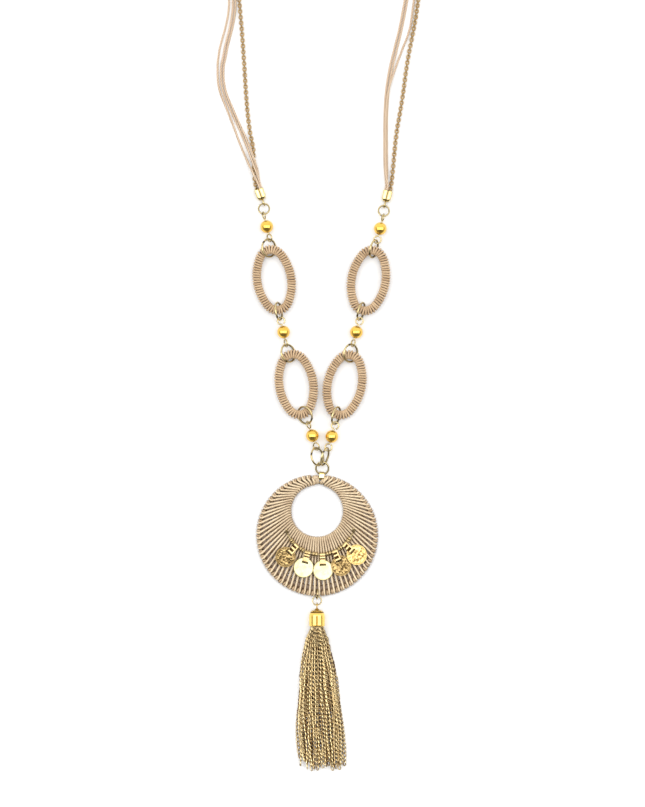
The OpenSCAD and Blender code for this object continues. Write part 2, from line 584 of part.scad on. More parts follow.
module coin(i) {
    slot_to = coin_strip_l + coin_strip_in + coin_strip_t + 2 * bore_gap;
    slot_w = coin_strip_w + 4 * bore_gap;
    color(GOLD) fall(i) rotate([0, -coin_roll, 0]) translate([0, 0, -coin_t / 2]) difference() {
        translate([0, coin_edge + coin_d / 2, 0]) cylinder(d = coin_d, h = coin_t, $fn = ring_fn);
        translate([0, coin_edge + coin_d / 2, coin_t - coin_border_h])
            cylinder(d = coin_d - 2 * coin_border_w, h = coin_t, $fn = ring_fn);
        translate([-slot_w / 2, coin_slot, -through]) cube([slot_w, slot_to - coin_slot, coin_t + 2 * through]);
    }
}

module rim_loop() {
    color(BRASS) lay([rim_loop_at, rim_loop_turn, rim_loop_roll]) jump_ring(rim_loop_r, tassel_wire);
}

module tassel_ring() {
    color(BRASS) translate(tassel_ring_at) jump_ring(tassel_ring_r, tassel_wire);
}

// Half outline of a cup that lies mouth down, with its round shoulder in one smooth row of points
function cup_outline(r, shoulder, l) = [for (k = [0:shoulder_steps]) let (a = 90 * k / shoulder_steps)
    [r - shoulder + shoulder * cos(a), l - shoulder + shoulder * sin(a)]];

module tassel_cap() {
    body_l = cap_l - cap_cone_h;
    inner_r = cap_d / 2 - cap_wall;
    cone = [[cap_eye_wire / 2, cap_l], [0, cap_l]];
    color(GOLD) {
        translate(cap_mouth) rotate([-90, 0, 0]) difference() {
            rotate_extrude($fn = ring_fn)
                polygon(concat([[0, 0], [cap_d / 2, 0]], cup_outline(cap_d / 2, cap_shoulder, body_l), cone));
            rotate_extrude($fn = ring_fn)
                polygon(concat([[0, -through], [inner_r, -through]],
                    cup_outline(inner_r, cap_shoulder - cap_wall, body_l - cap_wall), [[0, body_l - cap_wall]]));
        }
        translate(cap_eye_at) rotate([0, 90, 0]) torus(cap_eye_r, cap_eye_wire);
    }
}

module cord_end(p, hand) {
    neck = end_loop_r;
    color(GOLD) translate(p[0]) rotate([0, 0, -p[1]]) {
        rotate([0, 90, 0]) torus(end_loop_r, end_loop_wire);
        difference() {
            translate([-end_w / 2, neck, -end_t / 2]) cube([end_w, end_l, end_t]);
            translate([hand * chain_seat_x, neck + end_l - end_bore_l, chain_seat_z - end_z]) rotate([-90, 0, 0])
                cylinder(d = chain_d + 2 * bore_gap, h = end_bore_l + through, $fn = 32);
        }
    }
}

module thread(route) {
    color(THREAD) tube(route, thread_d, 2);
}

module neck_chain() {
    color(BRASS) tube(CHAIN_ROUTE, chain_d, 2);
}

// Corners on a fine grid keep each wall of a lock flat
function on_grid(p) = [for (c = p) round(c / lock_grid) * lock_grid];

// One lock of the tassel: a tube from the cap down to its own tip
module lock(k) {
    row = LOCKS[k];
    hang = concat([lock_inside - k * lock_stagger], [for (i = [0:lock_rings]) -i / lock_rings * tassel_l * row[2]]);
    last = len(hang) - 1;
    n = lock_sides;
    points = [for (i = [0:last], q = [0:n - 1]) let (turn = 360 * q / n + k * lock_turn)
        on_grid(lock_point(row, hang[i])) + on_grid([lock_r * cos(turn), 0, lock_r * sin(turn)])];
    walls = [for (i = [0:last - 1], q = [0:n - 1]) let (j = (q + 1) % n)
        [i * n + q, (i + 1) * n + q, (i + 1) * n + j, i * n + j]];
    polyhedron(points, concat([[for (q = [0:n - 1]) q]], walls, [[for (q = [n - 1:-1:0]) last * n + q]]));
}

module tassel() {
    head_r = cap_d / 2 - cap_wall - 3 * bore_gap;
    color(BRASS) translate(cap_mouth) resize([tassel_w, 0, 0]) union() {
        translate([0, head_gap, 0]) rotate([-90, 0, 0]) cylinder(r = head_r, h = lock_inside, $fn = 12);
        translate([-head_r, -core_l, -core_t / 2]) cube([2 * head_r, core_l + 2 * head_gap, core_t]);
        for (k = [0:len(LOCKS) - 1]) lock(k);
    }
}

neck_chain();
thread(THREAD_INNER);  // thread_inner
thread(THREAD_MIDDLE);  // thread_middle
thread(THREAD_OUTER);  // thread_outer
cord_end(left[11], -1);  // cord_end_left
cord_end(right[11], 1);  // cord_end_right
small_ring(left[10]);  // ring_a_left
large_ring(left[8]);  // ring_b_left
large_ring(left[6]);  // ring_c_left
large_ring(left[4]);  // ring_d_left
large_ring(left[2]);  // ring_e_left
large_ring(left[0]);  // ring_f_left
small_ring(right[10]);  // ring_a_right
large_ring(right[8]);  // ring_b_right
large_ring(right[6]);  // ring_c_right
large_ring(right[4]);  // ring_d_right
large_ring(right[2]);  // ring_e_right
large_ring(right[0]);  // ring_f_right
eye_pin(left[9]);  // pin_1_left
eye_pin(left[5]);  // pin_2_left
eye_pin(left[1]);  // pin_3_left
eye_pin(right[9]);  // pin_1_right
eye_pin(right[5]);  // pin_2_right
eye_pin(right[1]);  // pin_3_right
bead(left[9]);  // bead_1_left
bead(left[5]);  // bead_2_left
bead(left[1]);  // bead_3_left
bead(right[9]);  // bead_1_right
bead(right[5]);  // bead_2_right
bead(right[1]);  // bead_3_right
wound_oval(left[7]);  // wound_oval_1_left
wound_oval(left[3]);  // wound_oval_2_left
wound_oval(right[7]);  // wound_oval_1_right
wound_oval(right[3]);  // wound_oval_2_right
bail_ring();
rim_strap();
rim_hoop();
inner_hoop();
lacing();
coin_wire();
spacer_tubes();
coin(0);  // coin_1
coin(1);  // coin_2
coin(2);  // coin_3
coin(3);  // coin_4
coin(4);  // coin_5
coin_strip(0);  // coin_strip_1
coin_strip(1);  // coin_strip_2
coin_strip(2);  // coin_strip_3
coin_strip(3);  // coin_strip_4
coin_strip(4);  // coin_strip_5
rim_loop();
tassel_ring();
tassel_cap();
tassel();
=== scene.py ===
# %% [markdown]
# # A tassel necklace, laid out flat
#
# The real thing hangs from the neck. A fine chain and three waxed threads run round the nape, and beads,
# rings and wound ovals carry a laced disc with coins and a tassel of fine chains. Here it lies on a white
# surface and is seen from straight above.
#
# The measured solids come from the CAD frame. This script gives them their looks: chains get their links,
# threads their twist, the disc its lacing, and each metal its own polish.

# %% The frame
import math
import bpy
import numpy as np
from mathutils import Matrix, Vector


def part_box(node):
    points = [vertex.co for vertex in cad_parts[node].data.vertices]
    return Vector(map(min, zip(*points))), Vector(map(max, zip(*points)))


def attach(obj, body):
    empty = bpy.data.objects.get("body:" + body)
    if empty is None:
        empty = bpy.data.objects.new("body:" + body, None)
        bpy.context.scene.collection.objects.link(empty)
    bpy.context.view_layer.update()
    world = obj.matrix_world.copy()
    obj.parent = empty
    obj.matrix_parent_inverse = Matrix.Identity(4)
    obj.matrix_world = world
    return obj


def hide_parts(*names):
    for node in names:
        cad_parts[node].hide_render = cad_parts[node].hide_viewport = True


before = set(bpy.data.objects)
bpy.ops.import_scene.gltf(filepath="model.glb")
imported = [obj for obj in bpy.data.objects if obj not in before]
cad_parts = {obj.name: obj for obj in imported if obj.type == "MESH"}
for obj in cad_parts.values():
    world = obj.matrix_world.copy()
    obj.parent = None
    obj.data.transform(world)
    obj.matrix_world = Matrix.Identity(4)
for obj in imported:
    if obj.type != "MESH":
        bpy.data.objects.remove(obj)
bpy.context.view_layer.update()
print("solids in the frame:", len(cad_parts))

# %% [markdown]
# ## Camera
#
# Jewellery like this is photographed from straight above. Each pixel of the photo is 0.47 mm on the surface,
# which sets how far up the camera stands for its lens. A short lens close by would make the tall beads lean
# outwards, so a long lens stands far up.

# %% Camera
MM = 0.001
PIXEL = 0.47 * MM
IMAGE_W, IMAGE_H = 645, 807
ORIGIN_PIXEL = (322.5, 199.0)
CAMERA_UP = 1.5
SENSOR = 36.0
scene = bpy.context.scene


def at_pixel(x, y):
    """The place on the surface, in metres, that a pixel of the photo shows."""
    return (x - ORIGIN_PIXEL[0]) * PIXEL, (ORIGIN_PIXEL[1] - y) * PIXEL


lens = bpy.data.cameras.new("camera")
lens.sensor_fit = "HORIZONTAL"
lens.sensor_width = SENSOR
lens.lens = SENSOR * CAMERA_UP / (IMAGE_W * PIXEL)
camera = bpy.data.objects.new("camera", lens)
camera.location = (*at_pixel(IMAGE_W / 2, IMAGE_H / 2), CAMERA_UP)
scene.collection.objects.link(camera)
scene.camera = camera
print("lens", round(lens.lens, 1), "mm")

# %% [markdown]
# ## Recipes as expressions
#
# Each metal and each thread is a small recipe of textures, and so is the light of the tent round the table.
# Wiring nodes by hand hides the recipe, so a socket is wrapped in a class that understands +, - and *, and
# each of them adds one Math node. Every other node comes from one method, which takes its type, its settings
# and what goes into its sockets.

# %% Signals and recipes
class Signal:
    """A value on its way through a recipe. Arithmetic on it adds Math nodes."""

    def __init__(self, recipe, socket):
        self.recipe, self.socket = recipe, socket

    def math(self, operation, first, second, clamp=False):
        settings = {"operation": operation, "use_clamp": clamp}
        return self.recipe.node("ShaderNodeMath", settings, {0: first, 1: second})

    def __add__(self, other):
        return self.math("ADD", self, other)

    def __sub__(self, other):
        return self.math("SUBTRACT", self, other)

    def __mul__(self, other):
        return self.math("MULTIPLY", self, other)

    def __radd__(self, other):
        return self.math("ADD", other, self)

    def __rsub__(self, other):
        return self.math("SUBTRACT", other, self)

    def __rmul__(self, other):
        return self.math("MULTIPLY", other, self)

    def within(self):
        """The same value, held between 0 and 1."""
        return self.math("MULTIPLY", self, 1.0, clamp=True)


class Recipe:
    """A tree of nodes, built up node by node."""

    def __init__(self, tree):
        self.tree = tree

    def node(self, kind, settings=None, sockets=None, out=0):
        made = self.tree.nodes.new(kind)
        for name, value in (settings or {}).items():
            setattr(made, name, value)
        for key, value in (sockets or {}).items():
            self.plug(made.inputs[key], value)
        return Signal(self, made.outputs[out])

    def plug(self, socket, value):
        if isinstance(value, Signal):
            self.tree.links.new(value.socket, socket)
        else:
            socket.default_value = value


# %% [markdown]
# ## Light
#
# Polished gold shows its surroundings more than its own colour. Two soft boxes hang over the table, with a
# gap between them that lets a curved part keep some of its own gold. The tent round it is bright beyond the
# nape and dimmer beyond the tassel, so that every bead has a dark lower edge.

# %% Light
BOX_SIZE = (1.5, 2.6)
BOX_UP, BOX_OUT = 2.0, 0.98
BOX_POWER = 27.0
# The tent is dim up to one height along Y and bright from the other, on a sphere of radius 1
DIM_TO, BRIGHT_FROM = -0.2, 0.44
SKY_DIM, SKY_BRIGHT, WALLS = 0.2, 1.25, 0.7
TABLE_MIDDLE = Vector((0.0, -0.1, 0.0))


def add_soft_box(name, side):
    lamp = bpy.data.lights.new(name, "AREA")
    lamp.shape = "RECTANGLE"
    lamp.size, lamp.size_y = BOX_SIZE
    lamp.energy = BOX_POWER
    box = bpy.data.objects.new(name, lamp)
    box.location = (side * BOX_OUT, TABLE_MIDDLE.y, BOX_UP)
    box.rotation_euler = (box.location - TABLE_MIDDLE).to_track_quat("Z", "Y").to_euler()
    scene.collection.objects.link(box)


def add_tent():
    world = bpy.data.worlds.new("light tent")
    scene.world = world
    world.use_nodes = True
    tent = Recipe(world.node_tree)
    facing = tent.node("ShaderNodeTexCoord", out="Generated")
    along = tent.node("ShaderNodeSeparateXYZ", None, {0: facing}, out="Y")
    across = tent.node("ShaderNodeSeparateXYZ", None, {0: facing}, out="X")
    share = ((along - DIM_TO) * (1 / (BRIGHT_FROM - DIM_TO))).within()
    sky = share * (SKY_BRIGHT - SKY_DIM) + SKY_DIM
    # The side walls of the tent are white too
    sky = sky.math("MAXIMUM", sky, across * across * WALLS)
    tent.plug(world.node_tree.nodes["Background"].inputs["Color"], sky)


add_soft_box("soft box left", -1)
add_soft_box("soft box right", 1)
add_tent()
# A white board has to stay white in the picture, so colours are shown as they are, without a film curve
scene.view_settings.view_transform = "Standard"
print("soft boxes of", BOX_POWER, "W in a tent that goes from", SKY_DIM, "to", SKY_BRIGHT)

# %% [markdown]
# ## Finishes
#
# A finish is a recipe round one shader. The mesh of each piece carries marks for it, which say how tarnished,
# grooved or dyed each of its points is, so one finish can serve many pieces. Each finish also knows its slot.
# Some of these marks also carry painted shade, and on the neck chain a painted highlight, as said where each
# piece is made.

# %% Finishes
class Finish(Recipe):
    """One material, built node by node round its shader."""

    def __init__(self, name, slot, **constants):
        self.material = bpy.data.materials.new(name)
        self.material.use_nodes = True
        super().__init__(self.material.node_tree)
        self.slot = slot
        self.shader = self.tree.nodes["Principled BSDF"]
        self.feed(**constants)

    def feed(self, **values):
        for socket, value in values.items():
            self.plug(self.shader.inputs[socket.replace("_", " ")], value)

    def noise(self, size, detail=3.0, stretch=None):
        """Cloudy noise whose clouds are about this many millimetres across."""
        place = self.node("ShaderNodeTexCoord", out="Object")
        if stretch:
            place = self.node("ShaderNodeMapping", None, {"Vector": place, "Scale": stretch})
        sockets = {"Vector": place, "Scale": 1 / (size * MM), "Detail": detail}
        return self.node("ShaderNodeTexNoise", None, sockets)

    def mark(self, name):
        """A number that the mesh carries at its points, such as how tarnished it is."""
        return self.node("ShaderNodeAttribute", {"attribute_name": name}, out="Fac")

    def mix(self, factor, first, second):
        settings = {"data_type": "RGBA", "clamp_factor": True}
        return self.node("ShaderNodeMix", settings, {0: factor, 6: first, 7: second}, out=2)

    def bump(self, height, depth):
        """Relief whose full height is this many millimetres."""
        return self.node("ShaderNodeBump", None, {"Height": height, "Distance": depth * MM})


def paint(red, green, blue):
    """A colour as read off a screen from 0 to 255, made linear for the shader."""
    def linear(c):
        return c / 12.92 if c <= 0.04045 else ((c + 0.055) / 1.055) ** 2.4
    return (*(linear(c / 255) for c in (red, green, blue)), 1.0)


# %% [markdown]
# ## The metals
#
# The beads, the cap and the cord ends are polished yellow gold plate, and the strips and tubes have dulled
# more. The rings and eye pins are a paler brass that has aged to khaki and brown where fingers don't reach.
# The chains are gold again, browner between their links. The mark called tarnish runs from 0 on proud faces
# to 1 in hollows, and the finish turns it and two sizes of noise into colour and roughness. On the neck
# chain, the tassel, the cord ends, the strips, the hoops and the mirror coins it also carries painted shade,
# and on the neck chain a painted highlight. Fine scratches come from noise that is stretched a lot along one
# direction.

# %% The metals
CLOUD_SIZE, SPECK_SIZE, SCRATCH_SIZE = 2.2, 0.35, 0.12
SCRATCH_STRETCH = (1, 0.06, 1)


def metal(name, slot, bright, worn, dark, roughness, scratch, cloud):
    finish = Finish(name, slot, Metallic=1.0)
    clouds = finish.noise(CLOUD_SIZE, 4.0)
    specks = finish.noise(SPECK_SIZE)
    lines = finish.noise(SCRATCH_SIZE, 2.0, SCRATCH_STRETCH)
    patches = ((clouds - 0.42) * 3.0).within()
    skin = finish.mix(patches * cloud, paint(*bright), paint(*worn))
    # The tarnish mark is tarnish, and on some pieces painted shade and painted highlight too
    tarnish = (finish.mark("tarnish") * (0.75 + specks * 0.5)).within()
    finish.feed(Base_Color=finish.mix(tarnish, skin, paint(*dark)))
    finish.feed(Roughness=roughness + clouds * 0.08 + tarnish * 0.22)
    finish.feed(Normal=finish.bump(specks * 0.7 + lines * 0.3, scratch))
    return finish


# Columns: name, slot, bright, worn and tarnished colours, the last also painted shade, roughness, depth of
# scratches, strength of clouds
METALS = (
    ("polished gold", "polished_gold", (255, 217, 118), (246, 202, 98), (84, 52, 16), 0.07, 0.003, 0.5),
    ("pale gold", "polished_gold", (232, 210, 150), (194, 168, 104), (66, 42, 16), 0.12, 0.004, 0.6),
    ("worn gold", "polished_gold", (204, 180, 130), (160, 134, 88), (54, 34, 10), 0.2, 0.006, 0.8),
    ("bead gold", "polished_gold", (246, 202, 98), (222, 174, 72), (72, 40, 8), 0.08, 0.003, 0.6),
    ("brown chain gold", "antique_chain", (255, 228, 168), (234, 192, 122), (96, 52, 10), 0.2, 0.006, 0.4),
    ("antique chain gold", "antique_chain", (255, 233, 178), (242, 201, 130), (80, 38, 6), 0.09, 0.006, 0.5),
    ("antique brass", "antique_brass", (210, 192, 144), (160, 142, 96), (66, 48, 24), 0.17, 0.008, 0.8),
    ("antique coin gold", "antique_gold", (190, 162, 110), (144, 118, 72), (62, 42, 20), 0.26, 0.012, 0.9),
    ("sparkling coin gold", "antique_gold", (228, 202, 132), (196, 148, 84), (96, 62, 28), 0.2, 0.012, 0.6),
    ("mirror coin gold", "mirror_gold", (208, 202, 162), (192, 180, 118), (104, 80, 36), 0.12, 0.003, 0.8),
)
(polished_gold, pale_gold, worn_gold, bead_gold, brown_gold, antique_chain, antique_brass, antique_gold,
 bright_gold, mirror_gold) = (metal(*row) for row in METALS)
print("metals:", len(METALS), "with", len(polished_gold.tree.nodes), "nodes each")

# %% [markdown]
# ## The threads
#
# The neck threads and the lacing are waxed cord, beige with a little pink. Wax fills the hollows between the
# strands, so the cord has a soft gloss, and its grooves are painted darker as shade. The ovals are wound with
# a paler, drier yarn. The mark for the grooves says how deep a point lies between strands, and on some cords
# how low it lies on their flanks, and it is painted shade. The mark called shade gives each winding its own
# lightness, because dye takes unevenly, and on the lacing, the cores of the ovals and the band in the disc it
# also carries painted shade.

# %% The threads
FLECK_SIZE, PATCH_SIZE, FIBRE_SIZE, FIBRE_DEPTH = 0.25, 6.0, 0.08, 0.02


def thread(name, slot, pale, deep, hollow, roughness, coat):
    finish = Finish(name, slot, Coat_Weight=coat, Coat_Roughness=0.35, Sheen_Weight=0.15)
    fleck = finish.noise(FLECK_SIZE)
    patch = finish.noise(PATCH_SIZE)
    # The shade mark is dye, and on some pieces painted shade as well
    shade = (finish.mark("shade") * 0.7 + patch * 0.5 - 0.1).within()
    # The groove mark is painted shade, deepest between the strands
    groove = (finish.mark("groove") * (0.7 + fleck * 0.6)).within()
    skin = finish.mix(shade, paint(*pale), paint(*deep))
    finish.feed(Base_Color=finish.mix(groove, skin, paint(*hollow)))
    finish.feed(Roughness=roughness + fleck * 0.2)
    finish.feed(Normal=finish.bump(fleck * 0.6 + finish.noise(FIBRE_SIZE, 2.0) * 0.4, FIBRE_DEPTH))
    return finish


# Columns: name, slot, pale and deep colours, colour of the painted shade in the hollows, roughness, gloss of
# the wax
THREADS = (
    ("waxed thread", "waxed_thread", (236, 212, 180), (210, 180, 148), (116, 80, 54), 0.38, 0.2),
    ("lacing thread", "lacing_thread", (255, 232, 192), (148, 110, 70), (72, 43, 16), 0.34, 0.3),
    ("wound thread", "wound_thread", (226, 196, 156), (186, 152, 112), (78, 48, 24), 0.5, 0.1),
)
waxed_thread, lacing_thread, wound_thread = (thread(*row) for row in THREADS)
print("threads:", len(THREADS), "with", len(waxed_thread.tree.nodes), "nodes each")

# %% [markdown]
# ## Making meshes
#
# Almost everything here is a wire or a cord, so one maker does most of the work. It carries a section along a
# path and hands a grid of points to a function that makes its faces. A frame that is carried along from point
# to point keeps the section from twisting. All shapes are in millimetres until they become a piece.

# %% Makers
UP = (0.0, 0.0, 1.0)


def full_turn(steps):
    return np.arange(steps) * 2 * np.pi / steps


def grid_faces(rows, columns, rows_meet=False):
    """The faces of a grid whose columns meet round the section, and its rows too if it is a ring."""
    i = np.arange(rows if rows_meet else rows - 1)[:, None]
    j = np.arange(columns)[None, :]
    i2, j2 = (i + 1) % rows, (j + 1) % columns
    corners = i * columns + j, i * columns + j2, i2 * columns + j2, i2 * columns + j
    return np.stack(corners, -1).reshape(-1, 4)


def end_faces(rows, columns):
    """A face over the first row of a grid, and one over its last."""
    return [list(range(columns))[::-1], list(range((rows - 1) * columns, rows * columns))]


def unit(vectors):
    return vectors / np.maximum(np.linalg.norm(vectors, axis=-1, keepdims=True), 1e-12)


def headings(path, closed=False):
    if closed:
        return unit(np.roll(path, -1, 0) - np.roll(path, 1, 0))
    return unit(np.gradient(path, axis=0))


def carried_frame(path):
    """Two directions across the path at each point, carried along it without twist."""
    ahead = headings(path)
    up = np.empty_like(path)
    now = np.array(UP)
    for i, t in enumerate(ahead):
        now = now - t * (now @ t)
        now /= np.linalg.norm(now)
        up[i] = now
    return np.cross(up, ahead), up


def sweep(path, section, closed=False, frames=None):
    """A section that is carried along the path. It and its two directions may differ from point to point."""
    side, up = (np.broadcast_to(way, path.shape)[:, None] for way in frames or carried_frame(path))
    section = np.broadcast_to(section, (len(path), *np.shape(section)[-2:]))
    points = path[:, None] + section[..., :1] * side + section[..., 1:] * up
    rows, columns = points.shape[:2]
    faces = grid_faces(rows, columns, closed).tolist()
    return points.reshape(-1, 3), faces if closed else faces + end_faces(rows, columns)


def round_section(radius, sides):
    turn = full_turn(sides)
    return radius * np.stack([np.cos(turn), np.sin(turn)], -1)


def add_piece(name, shape, finish, replaces=(), sharp=None, **marks):
    """A piece of the necklace from a shape in millimetres; edges over the sharp angle stay crisp."""
    points, faces = shape
    mesh = bpy.data.meshes.new(name)
    mesh.from_pydata((points * MM).tolist(), [], faces)
    mesh.polygons.foreach_set("use_smooth", np.ones(len(mesh.polygons), bool))
    if sharp:
        mesh.set_sharp_from_angle(angle=math.radians(sharp))
    for mark, values in marks.items():
        layer = mesh.attributes.new(mark, "FLOAT", "POINT")
        values = np.broadcast_to(values, len(points)).astype(np.float32)
        layer.data.foreach_set("value", values)
    mesh.materials.append(finish.material)
    piece = bpy.data.objects.new(name, mesh)
    scene.collection.objects.link(piece)
    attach(piece, "root")
    if replaces:
        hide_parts(*replaces)
    print(name, len(mesh.polygons), "faces")
    return piece


# %% [markdown]
# ## Curves
#
# A route is a few given points. A spline through them makes a smooth curve, and even steps along it keep
# links, twist and faces regular.

# %% Curves
def distances(path):
    """How far along the path each of its points lies."""
    return np.concatenate([[0], np.cumsum(np.linalg.norm(np.diff(path, axis=0), axis=1))])


def between(wanted, known, points):
    return np.stack([np.interp(wanted, known, points[:, k]) for k in range(3)], -1)


def spread_evenly(path, step, closed=False):
    """The same curve with its points this far apart."""
    if closed:
        path = np.vstack([path, path[:1]])
    along = distances(path)
    count = max(2, int(round(along[-1] / step)) + 1)
    even = between(np.linspace(0, along[-1], count), along, path)
    return even[:-1] if closed else even


def rounded(points, steps):
    """A smooth curve through the points."""
    p = np.array(points, float)
    p = np.vstack([p[:1], p, p[-1:]])
    t = np.arange(steps)[:, None] / steps
    spans = []
    for a, b, c, d in zip(p[:-3], p[1:-2], p[2:-1], p[3:]):
        bends = (2 * a - 5 * b + 4 * c - d) * t**2 + (3 * b - a - 3 * c + d) * t**3
        spans.append(0.5 * (2 * b + (c - a) * t + bends))
    return np.vstack(spans + [p[-1:]])


def heading_of(degrees):
    """The direction on the surface for a heading that is counted clockwise from +Y."""
    return np.array([math.sin(math.radians(degrees)), math.cos(math.radians(degrees)), 0.0])


# %% [markdown]
# ## The neck threads
#
# Three waxed threads run beside the chain, slack enough to wander from it, and cross over it at the nape and
# at the left cord end. Each is three strands twisted together. A plain tube would look like wire, so the
# section has three lobes that turn as it goes. The routes are the ones of the CAD solids, and each thread
# ends inside the folded metal end that grips it, so it never shows a cut end.

# %% Threads round the neck
THREAD_D, TWIST, STRANDS, CORD_SIDES = 1.0, 4.2, 3, 12
GRIP = 0.9
SURFACE_GAP = 0.05
# Place and heading of the folded end on each side
LEFT_END, RIGHT_END = ((-27.718, -1.798, 1.8), -20.0), ((29.208, -2.767, 1.8), 14.0)
# Where a point has no height, the thread lies on the table
THREAD_ROUTES = {
    "inner": [
        (-28.7, 5.1, 0.75), (-29.4, 7, 0.75), (-30, 10, 0.8), (-30.6, 14, 1.8), (-32.1, 18.3, 2.7),
        (-33.7, 23, 2.5), (-35.6, 27.7, 1.3), (-37.7, 32.4), (-41.9, 41.8), (-45.6, 51.2), (-46.5, 60.6),
        (-44.9, 70), (-40.9, 93.5), (-47, 130), (-53.6, 158), (-60.5, 186), (-63.4, 208), (-59.8, 231.6),
        (-47.4, 252.3), (-27, 266.7), (-13.7, 268.9, 2.6), (0, 266.8, 2.75), (12.8, 262.8, 2.6),
        (24.1, 259), (42.9, 248), (54, 229.5), (57.2, 208), (55.2, 186), (50.1, 158), (45.4, 130),
        (38.7, 93.5), (36.1, 80), (33.6, 70), (31.4, 60.6), (29.8, 50), (29.1, 37), (29.1, 18),
        (29.5, 11, 0.6), (29.9, 6, 0.75), (29.5, 4.3, 0.75)],
    "middle": [
        (-28.7, 5.1, 1.95), (-29.4, 7, 1.95), (-30.2, 10, 2.2), (-31.6, 14, 2.75), (-33.3, 18.3, 2.65),
        (-35, 23, 1.9), (-36.9, 27.7, 0.8), (-38.9, 32.4), (-43.2, 41.8), (-46.9, 51.2), (-47.7, 60.6),
        (-46.1, 70), (-42.1, 93.5), (-48.2, 130), (-54.8, 158), (-61.7, 186), (-64.6, 208), (-60.9, 232),
        (-48.2, 253.2), (-27.4, 267.9), (-13.9, 270.1, 2.6), (0, 268, 2.75), (13, 264, 2.6),
        (24.6, 260.1), (43.8, 248.8), (55.1, 229.9), (58.4, 208), (56.4, 186), (51.3, 158), (46.6, 130),
        (39.9, 93.5), (37.3, 80), (34.9, 70), (32.6, 60.6), (31, 50), (30.3, 37), (30.3, 18),
        (30.4, 11, 1.35), (29.9, 6, 1.95), (29.5, 4.3, 1.95)],
    "outer": [
        (-29.4, 4.8, 2.95), (-30.1, 6.8, 2.95), (-31.7, 10, 2.95), (-33.6, 14, 2.3), (-35.6, 18.3, 1),
        (-37.6, 23), (-39.5, 27.7), (-41.2, 32.4), (-44.8, 41.8), (-48.4, 51.2), (-49.3, 60.6),
        (-48.4, 70), (-43.9, 93.5), (-49.5, 130), (-56, 158), (-62.9, 186), (-65.8, 208), (-62, 232.5),
        (-49.1, 254), (-27.9, 269), (-14, 271.3, 2.6), (0, 269.2, 2.75), (13.1, 265.2, 2.6),
        (25, 261.3), (44.6, 249.7), (56.2, 230.4), (59.6, 208), (57.6, 186), (52.6, 158), (48, 130),
        (43, 93.5), (41, 80), (37.4, 70), (34, 60.6, 0.9), (30.8, 50, 1.75), (29.7, 37, 1.5),
        (29.7, 18, 1.5), (29.9, 11, 2.4), (30.6, 6, 2.95), (30.2, 4.1, 2.95)],
}


def smooth_route(route, rest_z):
    """A smooth curve through the route's points; those without a height lie at rest."""
    return rounded([(*spot, rest_z)[:3] for spot in route], 16)


def cord_path(route):
    """The route, smooth, never below the surface, and run into the two grips."""
    rest_z = THREAD_D / 2 + SURFACE_GAP
    path = smooth_route(route, rest_z)
    path[:, 2] = path[:, 2].clip(rest_z)
    first = path[0] - GRIP * heading_of(LEFT_END[1])
    last = path[-1] - GRIP * heading_of(RIGHT_END[1])
    return np.vstack([first, path, last])


def twisted(path, diameter, twist, sides, depth, flank_shade=0.0, ridge=0.2):
    """A cord of strands that turn round each other, its painted shade in the grooves and its length.

    The flank strength is the painted shade that its sides get too, below a ridge along its top.
    """
    along = distances(path)
    turn = full_turn(sides)
    lobe = np.abs(np.cos(STRANDS / 2 * (turn - along[:, None] / twist * 2 * np.pi)))
    radius = diameter / 2 * (1 - depth + depth * lobe ** 0.7)
    shape = sweep(path, radius[..., None] * round_section(1, sides))
    height = shape[0][:, 2] - np.repeat(path[:, 2], sides)
    low = (ridge - height / (diameter / 2)).clip(0, 1)
    return shape, np.maximum((1 - lobe ** 0.5).ravel(), flank_shade * low), along[-1]


rng = np.random.default_rng(7)
for name, route in THREAD_ROUTES.items():
    path = spread_evenly(cord_path(route), 0.5)
    # The grooves between the strands are painted shade; the shade mark here is dye
    shape, groove, length = twisted(path, THREAD_D, TWIST, CORD_SIDES, 0.2)
    shade = 0.3 + 0.2 * np.sin(np.linspace(0, 40, len(path)) + rng.uniform(0, 6))
    cord = add_piece("cord_" + name, shape, waxed_thread, ["thread_" + name],
                     groove=groove * 1.5, shade=np.repeat(shade, CORD_SIDES))
    length * MM
    print("thread", name, "is", round(length), "mm long")

# %% [markdown]
# ## The neck chain
#
# A rolo chain is made of equal, nearly round links of thick wire, and each one stands across its neighbours.
# From above, a link that lies flat shows its bright ring and the next one only its edge. One link is modelled
# and then copied along the route, turned a quarter each time with a little play, which is how a machine makes
# it too. A flat link is most tarnished inside, where polishing can't reach.

# %% The neck chain
CHAIN_REST_Z = 1.05
CHAIN_ROUTE = [
    (-29.8, 1.6, 1.35), (-30.5, 3.5, 1.35), (-31.2, 5.4, 1.35), (-31.9, 10, 1.1), (-32.2, 16), (-32.6, 24),
    (-34.3, 33), (-35.7, 46.5), (-36.9, 65), (-38.3, 84), (-40.5, 105), (-45, 130), (-51.5, 158),
    (-58.5, 186), (-61.5, 208), (-58, 231), (-46, 251), (-26, 264), (0, 268), (26, 264), (46, 251),
    (58, 231), (61.5, 208), (59.5, 186), (54.5, 158), (50, 130), (46.5, 105), (43.6, 84), (40, 65),
    (37.4, 46.5), (35, 32.4), (33.9, 23), (33.3, 16), (32.6, 9, 1.1), (31.9, 4.5, 1.35), (31.4, 2.6, 1.35),
    (30.9, 0.7, 1.35),
]
ROLO_L, ROLO_W, ROLO_WIRE = 2.54, 2.12, 0.61
ROLO_PITCH = ROLO_L - 2 * ROLO_WIRE + 0.04
ROLO_PLAY = 7


